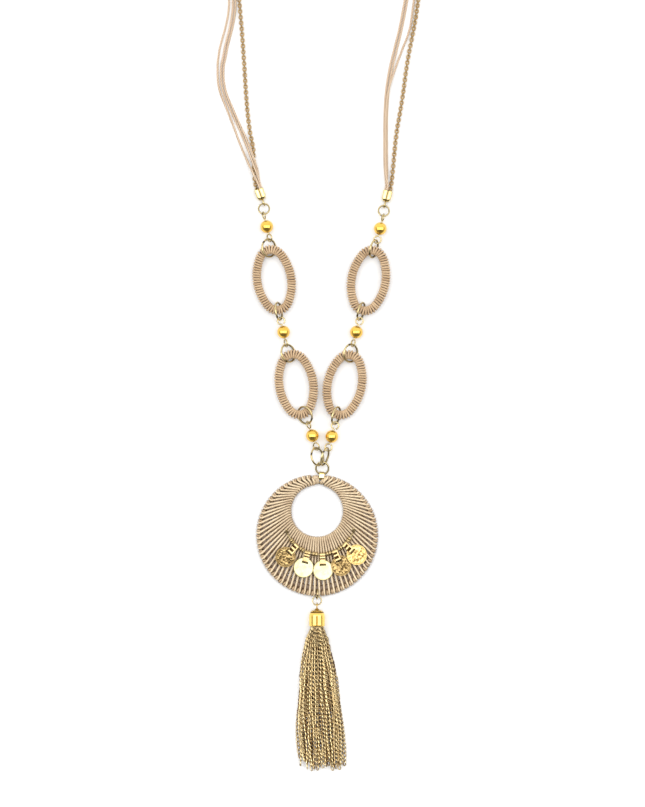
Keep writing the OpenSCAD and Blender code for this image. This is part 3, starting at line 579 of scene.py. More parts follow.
def link_shape(length, width, wire, around=16, sides=8, twist=0.0):
    """One link that lies flat with its length along +Y, or is twisted, and how tarnished each point is."""
    turn = full_turn(around)
    half_w, half_l = (width - wire) / 2, (length - wire) / 2
    middle = np.stack([half_w * np.sin(turn), half_l * np.cos(turn), 0 * turn], -1)
    outward = unit(middle / [half_w ** 2, half_l ** 2, 1])
    ring = round_section(wire / 2, sides)
    points = middle[:, None] + ring[:, :1] * outward[:, None] + ring[:, 1:] * UP
    inside = np.tile((0.55 - ring[:, 0] / wire * 1.3).clip(0, 1), around)
    x, y, z = points.reshape(-1, 3).T
    turn = math.radians(twist) * y / length
    points = np.stack([x * np.cos(turn) - z * np.sin(turn), y, x * np.sin(turn) + z * np.cos(turn)], -1)
    return points, grid_faces(around, sides, True), inside


def chain(path, pitch, link, rolls, step=90.0):
    """Copies of a link along a path, every second one turned by the step; rolls add a play in degrees."""
    stops = spread_evenly(path, pitch)
    ahead = headings(stops)
    side, up = carried_frame(stops)
    points, faces, mark = link
    roll = np.radians(np.arange(len(stops)) % 2 * step + np.resize(rolls, len(stops)))[:, None]
    across = side * np.cos(roll) + up * np.sin(roll)
    over = np.cross(across, ahead)
    x, y, z = points[:, :1], points[:, 1:2], points[:, 2:]
    links = stops[:, None] + x * across[:, None] + y * ahead[:, None] + z * over[:, None]
    bases = np.arange(len(stops))[:, None, None] * len(points)
    return (links.reshape(-1, 3), (faces + bases).reshape(-1, 4).tolist()), np.tile(mark, len(stops))


link = link_shape(ROLO_L, ROLO_W, ROLO_WIRE)
links, _ = chain(smooth_route(CHAIN_ROUTE, CHAIN_REST_Z), ROLO_PITCH, link, rng.normal(0, ROLO_PLAY, 600))
# The ends of standing links get a painted highlight in the holes of the flat ones and their middles painted
# shade, and the flat links are brown with tarnish, most of all inside
flat_link, standing_link_light_and_shade = 0.5 + 0.3 * link[2], (0.9 - 1.8 * np.abs(link[0][:, 1]) / ROLO_L).clip(0, 1)
tarnish = np.resize(np.concatenate([flat_link, standing_link_light_and_shade]), len(links[0]))
add_piece("rolo_chain", links, brown_gold, ["neck_chain"], tarnish=tarnish)
print("links round the neck:", len(links[0]) // len(link[0]))

# %% [markdown]
# ## Jump rings
#
# A jump ring is a turn of round wire that is bent open, threaded and bent shut, so it always has a cut where
# the two ends meet, a hair out of line. The CAD solid gives each ring its middle and the way it leans: the
# direction in which its points spread least is its axis. A ring that is swept along its own circle keeps
# that, and gains the two cut ends.

# %% Jump rings
JUMP_D, JUMP_WIRE, SMALL_D, SMALL_WIRE = 9.2, 0.9, 5.8, 0.75
RING_STEPS, RING_SIDES = 84, 14
CUT_GAP, CUT_STEP = math.radians(9.9), 0.12


def middle_of(node):
    """The middle of a solid's box."""
    low, high = (np.array(corner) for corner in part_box(node))
    return (low + high) / 2 / MM


def ring_directions(node):
    """Two directions in the plane of a ring's solid; the second points up the most."""
    spots = np.array([v.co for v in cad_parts[node].data.vertices])
    axis = np.linalg.svd(spots - spots.mean(0), full_matrices=False)[2][2]
    flat = unit(np.cross(axis, UP) + [1e-6, 0, 0])
    rise = np.cross(flat, axis)
    return flat, rise if rise[2] >= 0 else -rise


def add_ring(node, outer, wire, cut_at):
    flat, rise = ring_directions(node)
    axis = np.cross(flat, rise)
    gap = CUT_GAP / outer
    turn = math.radians(cut_at) + np.linspace(gap, 2 * math.pi - gap, RING_STEPS)
    out = flat * np.cos(turn)[:, None] + rise * np.sin(turn)[:, None]
    slip = np.linspace(-0.5, 0.5, RING_STEPS)[:, None] * CUT_STEP * wire * axis
    section = round_section(wire / 2, RING_SIDES)
    line = middle_of(node) + (outer - wire) / 2 * out + slip
    worn = np.tile((0.25 - section[:, 0] / wire * 1.1).clip(0, 1) * 0.8, RING_STEPS)
    worn[:2 * RING_SIDES] = worn[-2 * RING_SIDES:] = 0.9
    add_piece(node + "_wire", sweep(line, section, frames=(out, axis)), antique_brass, [node],
              sharp=50, tarnish=worn)


for hand in ("left", "right"):
    for letter in "bcdef":
        add_ring(f"ring_{letter}_{hand}", JUMP_D, JUMP_WIRE, rng.uniform(20, 160))
    add_ring(f"ring_a_{hand}", SMALL_D, SMALL_WIRE, 70)
add_ring("bail_ring", 6.8, 0.85, 95)
add_ring("rim_loop", 5.0, 0.6, 80)
add_ring("tassel_ring", 4.7, 0.6, 200)

# %% [markdown]
# ## Beads on eye pins
#
# Each bead is a hollow ball of thin gold, pressed in two halves and drilled at its poles, where the metal
# turns in a little round the hole. A wire runs through it and is bent into an eye at each end. The wire of an
# eye leaves the pin sideways and comes back round to it, which a closed ring on a stick would not show. The
# ball is turned from an outline, as on a lathe, and the pin is swept along one bent path.

# %% Beads and eye pins
BEAD_R, BORE_R, EYE_R, EYE_WIRE, PIN_REACH = 3.0, 0.5, 1.7, 0.7, 5.35
EYE_TURN, EYE_LIFT = 332, 0.12
# Columns: heading of the pin, roll of its lower eye and of its upper eye, in degrees
PINS = {"1_left": (-14, -50, -70), "2_left": (-12, -65, -5), "3_left": (-20, -40, 65),
        "1_right": (14, 0, -75), "2_right": (16, -60, 0), "3_right": (17, -15, 0)}


def across_from(degrees):
    return heading_of(degrees + 90)


def placed(shape, place, degrees=0.0):
    """A shape made with +Y ahead, turned to its heading and put in its place."""
    points, faces = shape
    x, y, z = points[:, :1], points[:, 1:2], points[:, 2:]
    return x * across_from(degrees) + y * heading_of(degrees) + z * UP + place, faces


def lathe(outline, sides=64, closed=False):
    """Turns an outline of (radius, height) pairs round the +Y axis."""
    outline = np.array(outline, float)
    turn = full_turn(sides)
    r, h = outline[:, :1], outline[:, 1:]
    points = np.stack([r * np.cos(turn), h + 0 * turn, -r * np.sin(turn)], -1)
    return points.reshape(-1, 3), grid_faces(len(outline), sides, closed).tolist()


def bead_shape():
    lip = math.asin((BORE_R + 0.12) / BEAD_R)
    ball = [(BEAD_R * math.sin(a), -BEAD_R * math.cos(a)) for a in np.linspace(lip, math.pi - lip, 40)]
    low = [(BORE_R, 0.9 - BEAD_R), (BORE_R, 0.2 - BEAD_R), (BORE_R + 0.04, 0.1 - BEAD_R)]
    high = [(r, -h) for r, h in low[::-1]]
    return lathe(low + ball + high)


def eye(roll, end):
    """The bent wire of one eye, from the pin round to its cut end."""
    turn = np.radians(np.linspace(180, 180 + EYE_TURN, 40))
    flat = np.array([math.cos(math.radians(roll)), 0, -math.sin(math.radians(roll))])
    lift = np.cross(flat, [0, 1, 0]) * np.linspace(0, EYE_LIFT, len(turn))[:, None]
    wave = np.sin(turn)[:, None] * flat * EYE_R + lift
    return wave + np.stack([0 * turn, end * (PIN_REACH + EYE_R * np.cos(turn)), 0 * turn], -1)


def pin_shape(low_roll, high_roll):
    stem_end = PIN_REACH - EYE_R - 0.45
    stem = np.array([[0, y, 0] for y in np.linspace(-stem_end, stem_end, 8)])
    path = np.vstack([eye(low_roll, -1)[::-1], stem, eye(high_roll, 1)])
    return sweep(spread_evenly(rounded(path, 3), 0.16), round_section(EYE_WIRE / 2 * 0.97, 12))


for name, (heading, low_roll, high_roll) in PINS.items():
    middle = middle_of("bead_" + name)
    ball, pin = bead_shape(), pin_shape(low_roll, high_roll)
    dull = ((np.abs(ball[0][:, 1]) - 2.75) * 3.5).clip(0, 1)
    worn = 0.6 * (0.75 - np.abs(pin[0][:, 1]) / PIN_REACH * 0.75).clip(0.1, 1)
    add_piece("ball_" + name, placed(ball, middle, heading), bead_gold, ["bead_" + name],
              sharp=60, tarnish=dull)
    add_piece("eyes_" + name, placed(pin, middle, heading), antique_brass, ["pin_" + name],
              sharp=50, tarnish=worn)

# %% [markdown]
# ## Wound ovals
#
# An open oval of flat brass is wound with yarn, about sixty turns side by side. The turns touch at the inner
# edge and fan apart at the outer edge of each end, and brown shows between them. The yarn here is a real
# helix
# round the oval: its middle runs round the band's section once for each turn. A bump map could draw the
# stripes from above, but only real turns give the rim its row of small bulges. A core fills the middle, and
# it is painted dark brown all over as the shade between the turns; the yarn's grooves and lower flanks are
# painted shade too.

# %% Wound ovals
# The middle line of an oval: half its width, where its end arcs have their middles, and its arcs
OVAL_SIDE, OVAL_END, END_R, SIDE_R, ARC = 8.0, 8.9, 5.5, 22.592, 31.38
BAND_WIDE, BAND_THICK, OVAL_TURNS = 4.4, 2.8, 62
YARN_D, YARN_TWIST, YARN_SIDES, TURN_STEPS = 1.0, 2.0, 10, 26
OVAL_HEADINGS = {"1_left": -9, "2_left": -9, "1_right": 10, "2_right": 12}


def oval_line():
    """The middle line of the band, counter-clockwise from its right side."""
    arcs = [((OVAL_SIDE - SIDE_R, 0), SIDE_R, -ARC, ARC), ((0, OVAL_END), END_R, ARC, 180 - ARC),
            ((SIDE_R - OVAL_SIDE, 0), SIDE_R, 180 - ARC, 180 + ARC),
            ((0, -OVAL_END), END_R, 180 + ARC, 360 - ARC)]
    spots = [(x + r * math.cos(a), y + r * math.sin(a), 0) for (x, y), r, start, stop in arcs
             for a in np.radians(np.linspace(start, stop, 60, endpoint=False))]
    return spread_evenly(np.array(spots), 0.25, closed=True)


def around_band(line, phase, half_wide, half_thick):
    """A point of the band's rounded section for each point of the line."""
    outward = np.cross(headings(line, closed=True), UP)
    c, s = np.cos(phase)[:, None], np.sin(phase)[:, None]
    wide = np.sign(c) * np.abs(c) ** 0.72 * half_wide
    thick = np.sign(s) * np.abs(s) ** 0.9 * half_thick
    return line + wide * outward + thick * UP


def add_wound_oval(name, heading, seed):
    dice = np.random.default_rng(seed)
    middle = middle_of("wound_oval_" + name)
    line = oval_line()
    step = np.arange(OVAL_TURNS * TURN_STEPS)
    jitter = np.repeat(dice.normal(0, 0.05, OVAL_TURNS), TURN_STEPS)
    jitter = np.convolve(jitter, np.ones(TURN_STEPS) / TURN_STEPS, "same")
    along = (step / TURN_STEPS + jitter) / OVAL_TURNS * len(line)
    meeting = np.vstack([line[-2:], line, line[:2]])
    yarn_line = between(along, np.arange(-2, len(line) + 2), meeting)
    phase = step / TURN_STEPS * 2 * np.pi
    path = around_band(yarn_line, phase, (BAND_WIDE - YARN_D) / 2, (BAND_THICK - YARN_D) / 2)
    # The yarn's grooves and lower flanks are painted shade
    yarn, groove, _ = twisted(path, YARN_D * 0.98, YARN_TWIST, YARN_SIDES, 0.14, flank_shade=0.6)
    # These draws are skipped, which keeps the shades that follow
    dice.normal(0, 0.03, OVAL_TURNS)
    shade = np.repeat(dice.uniform(0, 0.8, OVAL_TURNS), TURN_STEPS * YARN_SIDES)
    add_piece("yarn_oval_" + name, placed(yarn, middle, heading), wound_thread, ["wound_oval_" + name],
              groove=groove * 0.8, shade=shade)
    # The core is painted dark brown all over, as the shade between the turns
    core = round_section(0.5, 16) * [BAND_WIDE - 1.7, BAND_THICK - 1.5]
    shade_band = sweep(line, core, closed=True, frames=(np.cross(headings(line, closed=True), UP), UP))
    add_piece("shade_core_oval_" + name, placed(shade_band, middle, heading), wound_thread, groove=1.0, shade=1.0)


for seed, (name, heading) in enumerate(OVAL_HEADINGS.items()):
    add_wound_oval(name, heading, seed + 11)

# %% [markdown]
# ## Cord ends
#
# A folded end is a small plate of gold whose two flaps are pressed over the cords, with a loop left at its
# tip. The flaps meet in a seam down the middle. The section is a rounded box with a notch for the seam,
# carried from a rounded tip to the open mouth and then back inside, so that the cords go into a hollow whose
# inside is painted dark, as shade.

# %% Cord ends
END_W, END_T, LOOP_R, LOOP_WIRE, END_AROUND = 4.4, 3.6, 1.45, 0.7, 64
# Columns: distance from the tip, share of the width, share of the height, depth of the seam
END_STEPS = ((-0.1, 0.25, 0.2, 0), (0, 0.5, 0.42, 0), (0.25, 0.7, 0.68, 0.04), (0.7, 0.86, 0.9, 0.12),
             (1.3, 0.95, 0.98, 0.22), (2.2, 0.97, 1, 0.22), (3.6, 0.97, 0.96, 0.22), (4.7, 1, 1, 0.2),
             (5.08, 1, 1, 0.14), (5.2, 0.97, 0.97, 0.1), (5.14, 0.9, 0.89, 0), (4.5, 0.86, 0.84, 0),
             (4.45, 0.05, 0.05, 0))


def standing_ring(radius, wire, middle_y, steps):
    """A closed ring of wire in the plane of Y and Z."""
    turn = full_turn(steps)
    out = np.stack([0 * turn, np.cos(turn), np.sin(turn)], -1)
    line = [0, middle_y, 0] + radius * out
    return sweep(line, round_section(wire / 2, 12), closed=True, frames=((1, 0, 0), out))


def joined(shapes):
    """Several shapes as one."""
    points, faces, base = [], [], 0
    for p, f in shapes:
        points.append(p)
        faces += [[c + base for c in face] for face in f]
        base += len(p)
    return np.vstack(points), faces


def box_section(width, height, notch):
    """A box with round corners and a notch at the middle of its top."""
    c, s = round_section(1, END_AROUND).T
    x = np.sign(c) * np.abs(c) ** 0.45 * width / 2
    z = np.sign(s) * np.abs(s) ** 0.45 * height / 2
    return x, z - notch * np.exp(-(x / 0.14) ** 2) * (s > 0)


def add_cord_end(hand, place, heading):
    rows, dull = [], []
    for away, wide, high, notch in END_STEPS:
        x, z = box_section(END_W * wide, END_T * high, notch)
        rows.append(np.stack([x, np.full_like(x, LOOP_R + away), z], -1))
        seam = np.exp(-(x / 0.22) ** 2) * (z > 0) * (notch > 0)
        # Inside the mouth the metal is painted dark, as shade
        inside = away > 2 and wide < 0.95
        dull.append(np.maximum(seam, 0.95 * inside))
    faces = grid_faces(len(rows), END_AROUND).tolist() + end_faces(len(rows), END_AROUND)[:1]
    loop = standing_ring(LOOP_R, LOOP_WIRE, 0, 48)
    whole = joined([(np.vstack(rows), faces), loop])
    add_piece("folded_end_" + hand, placed(whole, place, heading), pale_gold, ["cord_end_" + hand],
              sharp=55, tarnish=np.concatenate([*dull, np.full(len(loop[0]), 0.25)]))


add_cord_end("left", *LEFT_END)
add_cord_end("right", *RIGHT_END)

# %% [markdown]
# ## The laced disc
#
# Two wire hoops, a wide one and a narrow one near its top, are laced together with one long cord. It goes
# over the face of the disc from the narrow hoop to the wide one, round that, and back behind to the next
# place. The front run is pale, and the back run shows between as a darker line, which is painted shade. The
# turns touch at the hole and open at the rim, where the hoop glints through; the hoop and a band inside the
# rim are painted dark, as the shade in those gaps, and each cord is painted shade below a ridge along its
# top. The cord here follows that path turn by turn, because the moving gaps between two layers are what the
# eye reads as lacing.

# %% The laced disc
DISC_AT, HOLE_AT = np.array([-2.5, -158.0, 1.5]), np.array([-2.5, -146.6, 1.5])
RIM_R, HOLE_R, HOOP_WIRE = 27.3, 13.35, 0.85
LACE_D, BINDING_D, LACE_TWIST, LACE_SIDES, RIM_ADVANCE = 1.0, 0.5, 2.4, 9, 0.64
BAND_R, BAND_W, BAND_T = 24.8, 2.6, 0.6
LACE_TURNS, LACE_FIRST, LACE_STEP, LACE_CROWD, LACE_FAN, STRAP_TURN = 71, 10.9, 4.90704, 8.0, 9.0, 4.3
TONE_STEPS = 40


def lace_angles():
    """Headings of each turn on the narrow hoop and on the wide one, clockwise from the top."""
    even = LACE_FIRST + np.arange(LACE_TURNS) * LACE_STEP
    lean = math.sin(math.radians(STRAP_TURN)) * (1 - even / 180)
    hole = even + LACE_CROWD * (np.sin(np.radians(even)) - lean)
    return hole, hole - LACE_FAN * np.sin(np.radians(hole))


def lace_path(hole, rim, diameter, seed):
    """The way of a cord between the hoops, and for each point how much it hides in shadow."""
    out = HOOP_WIRE / 2 + diameter / 2 + 0.02
    spots, shadow = [], []
    dice = np.random.default_rng(seed)

    def round_hoop(hoop, radius, start, stop, half_turns, sense):
        """Round a hoop half a turn or more, outwards with sense 1 or inwards with -1."""
        for share in np.linspace(0, 1, 6 * half_turns + 1):
            a, turn = math.pi * half_turns * share, start + (stop - start) * share
            away, lift = math.sin(a) * sense, math.cos(a) * sense
            spots.append(hoop + (radius + away * out) * heading_of(turn) + np.array([0, 0, out * lift]))
            below = 0.5 - 0.5 * lift
            if sense < 0:
                shadow.append(max(below * 1.2, 0.4))
            else:
                shadow.append(max(below * (0.3 if lift > 0.3 else 1.3), 0.8 if share > 0.4 else 0.0))

    def run(start, stop, side, wobble):
        ahead = unit(stop - start)
        for share in np.linspace(0.06, 0.94, 9):
            sway = np.array([-ahead[1], ahead[0], 0]) * wobble * math.sin(math.pi * share)
            spots.append(start + (stop - start) * share + sway + np.array([0, 0, side * out]))
            shadow.append(max(0.0, 0.45 - share) if side > 0 else 1.0)

    for k in range(len(hole)):
        run(HOLE_AT + HOLE_R * heading_of(hole[k]), DISC_AT + RIM_R * heading_of(rim[k]), 1,
            dice.normal(0, 0.05))
        if k == len(hole) - 1:
            break
        after = rim[k] + RIM_ADVANCE * (rim[k + 1] - rim[k])
        before = (hole[k] + hole[k + 1]) / 2
        round_hoop(DISC_AT, RIM_R, rim[k], after, 3, 1)
        run(DISC_AT + RIM_R * heading_of(after), HOLE_AT + HOLE_R * heading_of(before), -1,
            dice.normal(0, 0.08))
        round_hoop(HOLE_AT, HOLE_R, before, hole[k + 1], 1, -1)
    return np.array(spots), np.array(shadow)


def add_lacing(name, hole, rim, diameter, seed, replaces=()):
    spots, shadow = lace_path(hole, rim, diameter, seed)
    along = distances(spots)
    line = spread_evenly(rounded(spots, 3), 0.6)
    # The cord is painted shade between its strands and on its sides below a ridge near its top
    shape, groove, length = twisted(line, diameter, LACE_TWIST, LACE_SIDES, 0.12, flank_shade=1.0, ridge=0.8)
    shape[0][:, 2] = shape[0][:, 2].clip(0.01)
    # The shadow of each point is painted into the cord's colour as painted shade, with a random tone on top
    hidden = np.interp(np.linspace(0, along[-1], len(line)), along, shadow)
    tone = np.repeat(rng.uniform(0, 0.22, len(line) // TONE_STEPS + 1), TONE_STEPS)[:len(line)]
    add_piece(name, shape, lacing_thread, replaces,
              groove=groove * 0.7, shade=np.repeat(hidden * 0.9 + tone, LACE_SIDES))
    print(name, "is", round(length / 1000, 2), "m of cord in", len(hole), "turns")


add_lacing("lacing_cord", *lace_angles(), LACE_D, 3, ["lacing"])
# Finer cord binds the hoops beside the strap, upright on its left and aslant on its right
add_lacing("binding_left", np.array([-8.2, -5.6, -3.0, -0.4, 2.1]), np.array([-4.0, -2.7, -1.5, -0.2, 1.0]),
           BINDING_D, 4)
add_lacing("binding_right", np.array([4.7, 7.7, 10.8]), np.array([7.4, 8.5, 9.7]), BINDING_D, 5)

# The hoops are painted dark with tarnish, as the shade in the gaps between the turns
for node, middle, radius in (("rim_hoop", DISC_AT, RIM_R), ("inner_hoop", HOLE_AT, HOLE_R)):
    turn = full_turn(240)
    out = np.stack([np.cos(turn), np.sin(turn), 0 * turn], -1)
    hoop = sweep(middle + radius * out, round_section(HOOP_WIRE / 2, 12), closed=True, frames=(out, UP))
    add_piece(node + "_wire", hoop, antique_brass, [node], tarnish=0.75)

# A flat band between the two layers just inside the rim is painted dark, as the shade that the gaps between
# the turns show
path = DISC_AT + BAND_R * np.array([heading_of(h) for h in np.linspace(48, 320, 220)])
shade_band = sweep(path, round_section(0.5, 12) * [BAND_W, BAND_T], frames=(unit(path - DISC_AT), UP))
add_piece("rim_shade_band", shade_band, lacing_thread, groove=0.7, shade=1.0)

# %% [markdown]
# ## The tassel cap
#
# The cap is formed from thin gold sheet: a straight cup with a seam, a round shoulder and a little cone. A
# wire eye is soldered to its top. It is turned on the lathe here too, from the rim inside to the cone
# outside, so that the mouth shows the thickness of the sheet.

# %% The tassel cap
CAP_MOUTH = np.array([-2.593, -200.438, 3.7])
CAP_R, CAP_L, CAP_WALL, CAP_EYE_R, CAP_EYE_WIRE = 3.7, 8.4, 0.5, 1.15, 0.6
CAP_DOME, CAP_BODY, CONE_R = 4.3, 7.2, 1.5


def cap_shape():
    dome = CAP_R - CONE_R

    def arch(radius, height, angles):
        return [(CONE_R + radius * math.cos(a), CAP_DOME + height * math.sin(a)) for a in angles]

    lean = np.radians(np.linspace(0, 84, 16))
    inside = [(0.05, CAP_BODY - 0.3), (1.2, CAP_BODY - 0.45)]
    inside += arch(dome - CAP_WALL, CAP_BODY - CAP_DOME - 0.4, lean[:1:-2])
    lip = [(CAP_R - CAP_WALL, 0.12), (CAP_R - CAP_WALL + 0.08, 0.03), (CAP_R - CAP_WALL / 2, 0),
           (CAP_R - 0.08, 0.04), (CAP_R, 0.16)]
    cup = [(CAP_R, h) for h in (0.8, 1.0, 2.5, 4.0)]
    shoulder = arch(dome, CAP_BODY + 0.25 - CAP_DOME, lean)
    cone = [(CONE_R, CAP_BODY + 0.3), (1.2, CAP_BODY + 0.55), (0.75, CAP_BODY + 0.9), (0.4, CAP_L - 0.05),
            (0.05, CAP_L + 0.05)]
    return lathe(inside + lip + cup + shoulder + cone, 96)


cap = joined([cap_shape(), standing_ring(CAP_EYE_R, CAP_EYE_WIRE, CAP_L + CAP_EYE_R, 40)])
x, y, z = cap[0].T
hollow = (np.hypot(x, z) < CAP_R - CAP_WALL + 0.02) & (y < CAP_BODY - 0.4)
cone_aged = ((y - CAP_BODY + 0.1) * 3).clip(0, 0.45)
# The sheet is joined along one thin seam, which lies on top
seam = (2 - np.abs(x) / 0.25).clip(0, 1) * (z > CAP_R / 2) * (np.abs(y - 2.9) < 2.1)
add_piece("spun_cap", placed(cap, CAP_MOUTH), polished_gold, ["tassel_cap"],
          sharp=50, tarnish=np.maximum.reduce([hollow * 0.9, cone_aged, seam]))

# %% [markdown]
# ## The tassel
#
# Thirty-five fine cable chains hang from the cap. On the table they settle in three layers and spread like a
# brush, and a few cross over the others. Each chain is the same small oval link, copied along its own path,
# with its own lean, because a chain that lies on a table never shows all its links square. Links in the lower
# layers, lower down and near the cap are painted darker as shade, so the gaps between the bright links are
# nearly black, which gives the tassel its contrast.

# %% The tassel
TASSEL_L, LANE_HALF, TASSEL_SWING = 67.5, 10.6, 0.034
CABLE_L, CABLE_W, CABLE_WIRE, CABLE_TWIST = 3.0, 1.85, 0.5, 55
CABLE_PITCH = CABLE_L - 2 * CABLE_WIRE - 0.1
# Share of its full width that the tassel has at even steps from the cap to its tips
SPREAD = [0.2, 0.46, 0.585, 0.73, 0.82, 0.887, 0.953, 1.0, 1.0, 0.99, 0.97]
LAYERS = (("lower", 13), ("middle", 12), ("upper", 10))
LAYER_Z, LAYER_STEP = 0.95, 1.25


def strand_path(across, layer, share, sway):
    down = np.linspace(0, 1, 70)
    half = np.interp(down, np.linspace(0, 1, len(SPREAD)), SPREAD)
    ease = (down * 6).clip(0, 1)
    ease = ease * ease * (3 - 2 * ease)
    x = across * half * LANE_HALF + TASSEL_L * TASSEL_SWING * down ** 1.5
    x = x + sway * np.sin(np.radians(200) * down) * down
    x = x + 0.5 * np.sin(down * 11 + across * 17 + layer * 2) * down
    start_z = (layer - 1) * 1.2
    rest_z = LAYER_Z + layer * LAYER_STEP - CAP_MOUTH[2]
    path = np.stack([x, -down * TASSEL_L * share, start_z + (rest_z - start_z) * ease], -1)
    neck = np.stack([across * np.array([1.0, 1.7]), [2.2, 0.6], [start_z, start_z]], -1)
    return np.vstack([neck, path[1:]]) + CAP_MOUTH


cable = link_shape(CABLE_L, CABLE_W, CABLE_WIRE, around=12, sides=6, twist=CABLE_TWIST)
for layer, (name, count) in enumerate(LAYERS):
    strands, marks, dice = [], [], np.random.default_rng(20 + layer)
    for across in np.linspace(-1, 1, count) * (1 - 0.08 * layer):
        share = dice.uniform(0.91, 0.998) - 0.03 * abs(across) ** 3
        strand = strand_path(across, layer, share, dice.normal(0, 0.6))
        lean = dice.uniform(-50, 50) + np.cumsum(dice.normal(0, 12, 80)) + dice.normal(0, 10, 80)
        shape, mark = chain(spread_evenly(strand, 0.4), CABLE_PITCH, cable, lean, 0.0)
        _, y, z = shape[0].T
        z[:] = z.clip(0.02)
        # Lower layers, lower links and links near the cap are painted darker, as shade, on top of their
        # tarnish
        depth = ((LAYER_Z + layer * LAYER_STEP + 0.5 - z) / CABLE_W).clip(0, 1)
        near_cap_shade = ((y - CAP_MOUTH[1]) / 24 + 1).clip(0, 1)
        strands.append(shape)
        marks.append(0.7 * mark + 0.06 * (2 - layer) + depth * 0.5 + near_cap_shade * 0.22)
    add_piece("tassel_" + name, joined(strands), antique_chain, ["tassel"], tarnish=np.concatenate(marks))

# %% [markdown]
# ## The coins
#
# Five small coins hang from one curved wire. They are struck from thin sheet with a raised border, and each
# has a slot near its edge for the strip that holds it. Two are polished like mirrors and the other three
# carry a worn relief. The relief here is only a field of soft dents and bosses, pressed into a fine polar
# grid so that its edges catch the light. A box cuts the slot, and the tarnish follows the low places, as it
# does when old coins are rubbed clean.

# %% The coins
ARC_AT, ARC_R, ARC_FROM, ARC_TO = np.array([-1.2, -150.1, 4.2]), 16.8, 110, 248
COIN_R, COIN_T, BORDER_W, BORDER_H, COIN_MIDDLE, COIN_SIDES = 4.75, 0.6, 0.45, 0.1, 7.374, 160
SLOT_FROM, SLOT_TO, SLOT_HALF = 4.524, 5.3, 1.5
COIN_DIP, COIN_ROLL = math.radians(2), math.radians(5.5)
BOSSES = 320
# Columns: place along the wire, heading in which the coin falls, finish, depth of the relief in millimetres
COINS = [(221, 224, antique_gold, 0.13), (200, 195, mirror_gold, 0.0), (176, 178, mirror_gold, 0.0),
         (155.5, 156.5, antique_gold, 0.13), (136, 131, bright_gold, 0.09)]


def on_arc(heading):
    return ARC_AT + ARC_R * heading_of(heading)


def cut(shape, low, high):
    """The shape less a box between two corners."""
    made = []
    corners = np.array([(x, y, z) for x in (low[0], high[0]) for y in (low[1], high[1])
                        for z in (low[2], high[2])], float)
    sides = [(0, 1, 3, 2), (4, 6, 7, 5), (0, 4, 5, 1), (2, 3, 7, 6), (0, 2, 6, 4), (1, 5, 7, 3)]
    for name, (points, faces) in (("blank", shape), ("cutter", (corners, sides))):
        mesh = bpy.data.meshes.new(name)
        mesh.from_pydata(points.tolist(), [], faces)
        made.append(bpy.data.objects.new(name, mesh))
        scene.collection.objects.link(made[-1])
    punch = made[0].modifiers.new("slot", "BOOLEAN")
    punch.operation, punch.object, punch.solver = "DIFFERENCE", made[1], "EXACT"
    result = made[0].evaluated_get(bpy.context.evaluated_depsgraph_get()).to_mesh()
    points = np.array([v.co for v in result.vertices])
    faces = [list(face.vertices) for face in result.polygons]
    for mesh in [piece.data for piece in made]:
        bpy.data.meshes.remove(mesh)
    return points, faces


def coin_shape(relief, seed):
    """A struck blank round the origin, from its underside to the middle of its face, which is up."""
    dice = np.random.default_rng(seed)
    field, face = COIN_R - BORDER_W, COIN_T - BORDER_H
    rows = [(0.3, 0), (COIN_R - 0.08, 0), (COIN_R, 0.08), (COIN_R, COIN_T - 0.08), (COIN_R - 0.07, COIN_T),
            (field + 0.08, COIN_T), (field, face)]
    rows = np.array(rows + [(s, face) for s in np.linspace(field - 0.12, 0.1, 44)])
    turn = full_turn(COIN_SIDES)
    r = rows[:, :1]
    x, y, z = r * np.cos(turn), r * np.sin(turn), rows[:, 1:] + 0 * turn
    spots = dice.uniform(-field, field, (BOSSES, 2))
    sizes = dice.uniform(0.14, 0.42, BOSSES)
    signs = dice.choice([-0.7, 1.0], BOSSES)
    height = sum(sign * np.exp(-((x - a) ** 2 + (y - b) ** 2) / size ** 2)
                 for (a, b), size, sign in zip(spots, sizes, signs))
    edge = ((field - 0.15 - r) * 4).clip(0, 1) * (rows[:, 1:] > COIN_T / 2) * (r <= field)
    # A mirror face is dished instead
    dish = -0.05 * np.cos(r / field * np.pi / 2).clip(0)
    z = z + (relief * np.tanh(height) if relief else dish) * edge
    faces = grid_faces(len(rows), COIN_SIDES).tolist() + end_faces(len(rows), COIN_SIDES)
    return np.stack([x, y, z], -1).reshape(-1, 3), faces


def fallen(shape, i, roll=0.0):
    """A shape made at the wire's middle, leaned and put in its place on the wire."""
    points, faces = shape
    x, y, z = points.T
    x, z = x * math.cos(roll) - z * math.sin(roll), x * math.sin(roll) + z * math.cos(roll)
    dip_cos, dip_sin = math.cos(COIN_DIP), math.sin(COIN_DIP)
    points = np.stack([x, y * dip_cos + z * dip_sin, z * dip_cos - y * dip_sin], -1)
    return placed((points, faces), on_arc(COINS[i][0]), COINS[i][1])


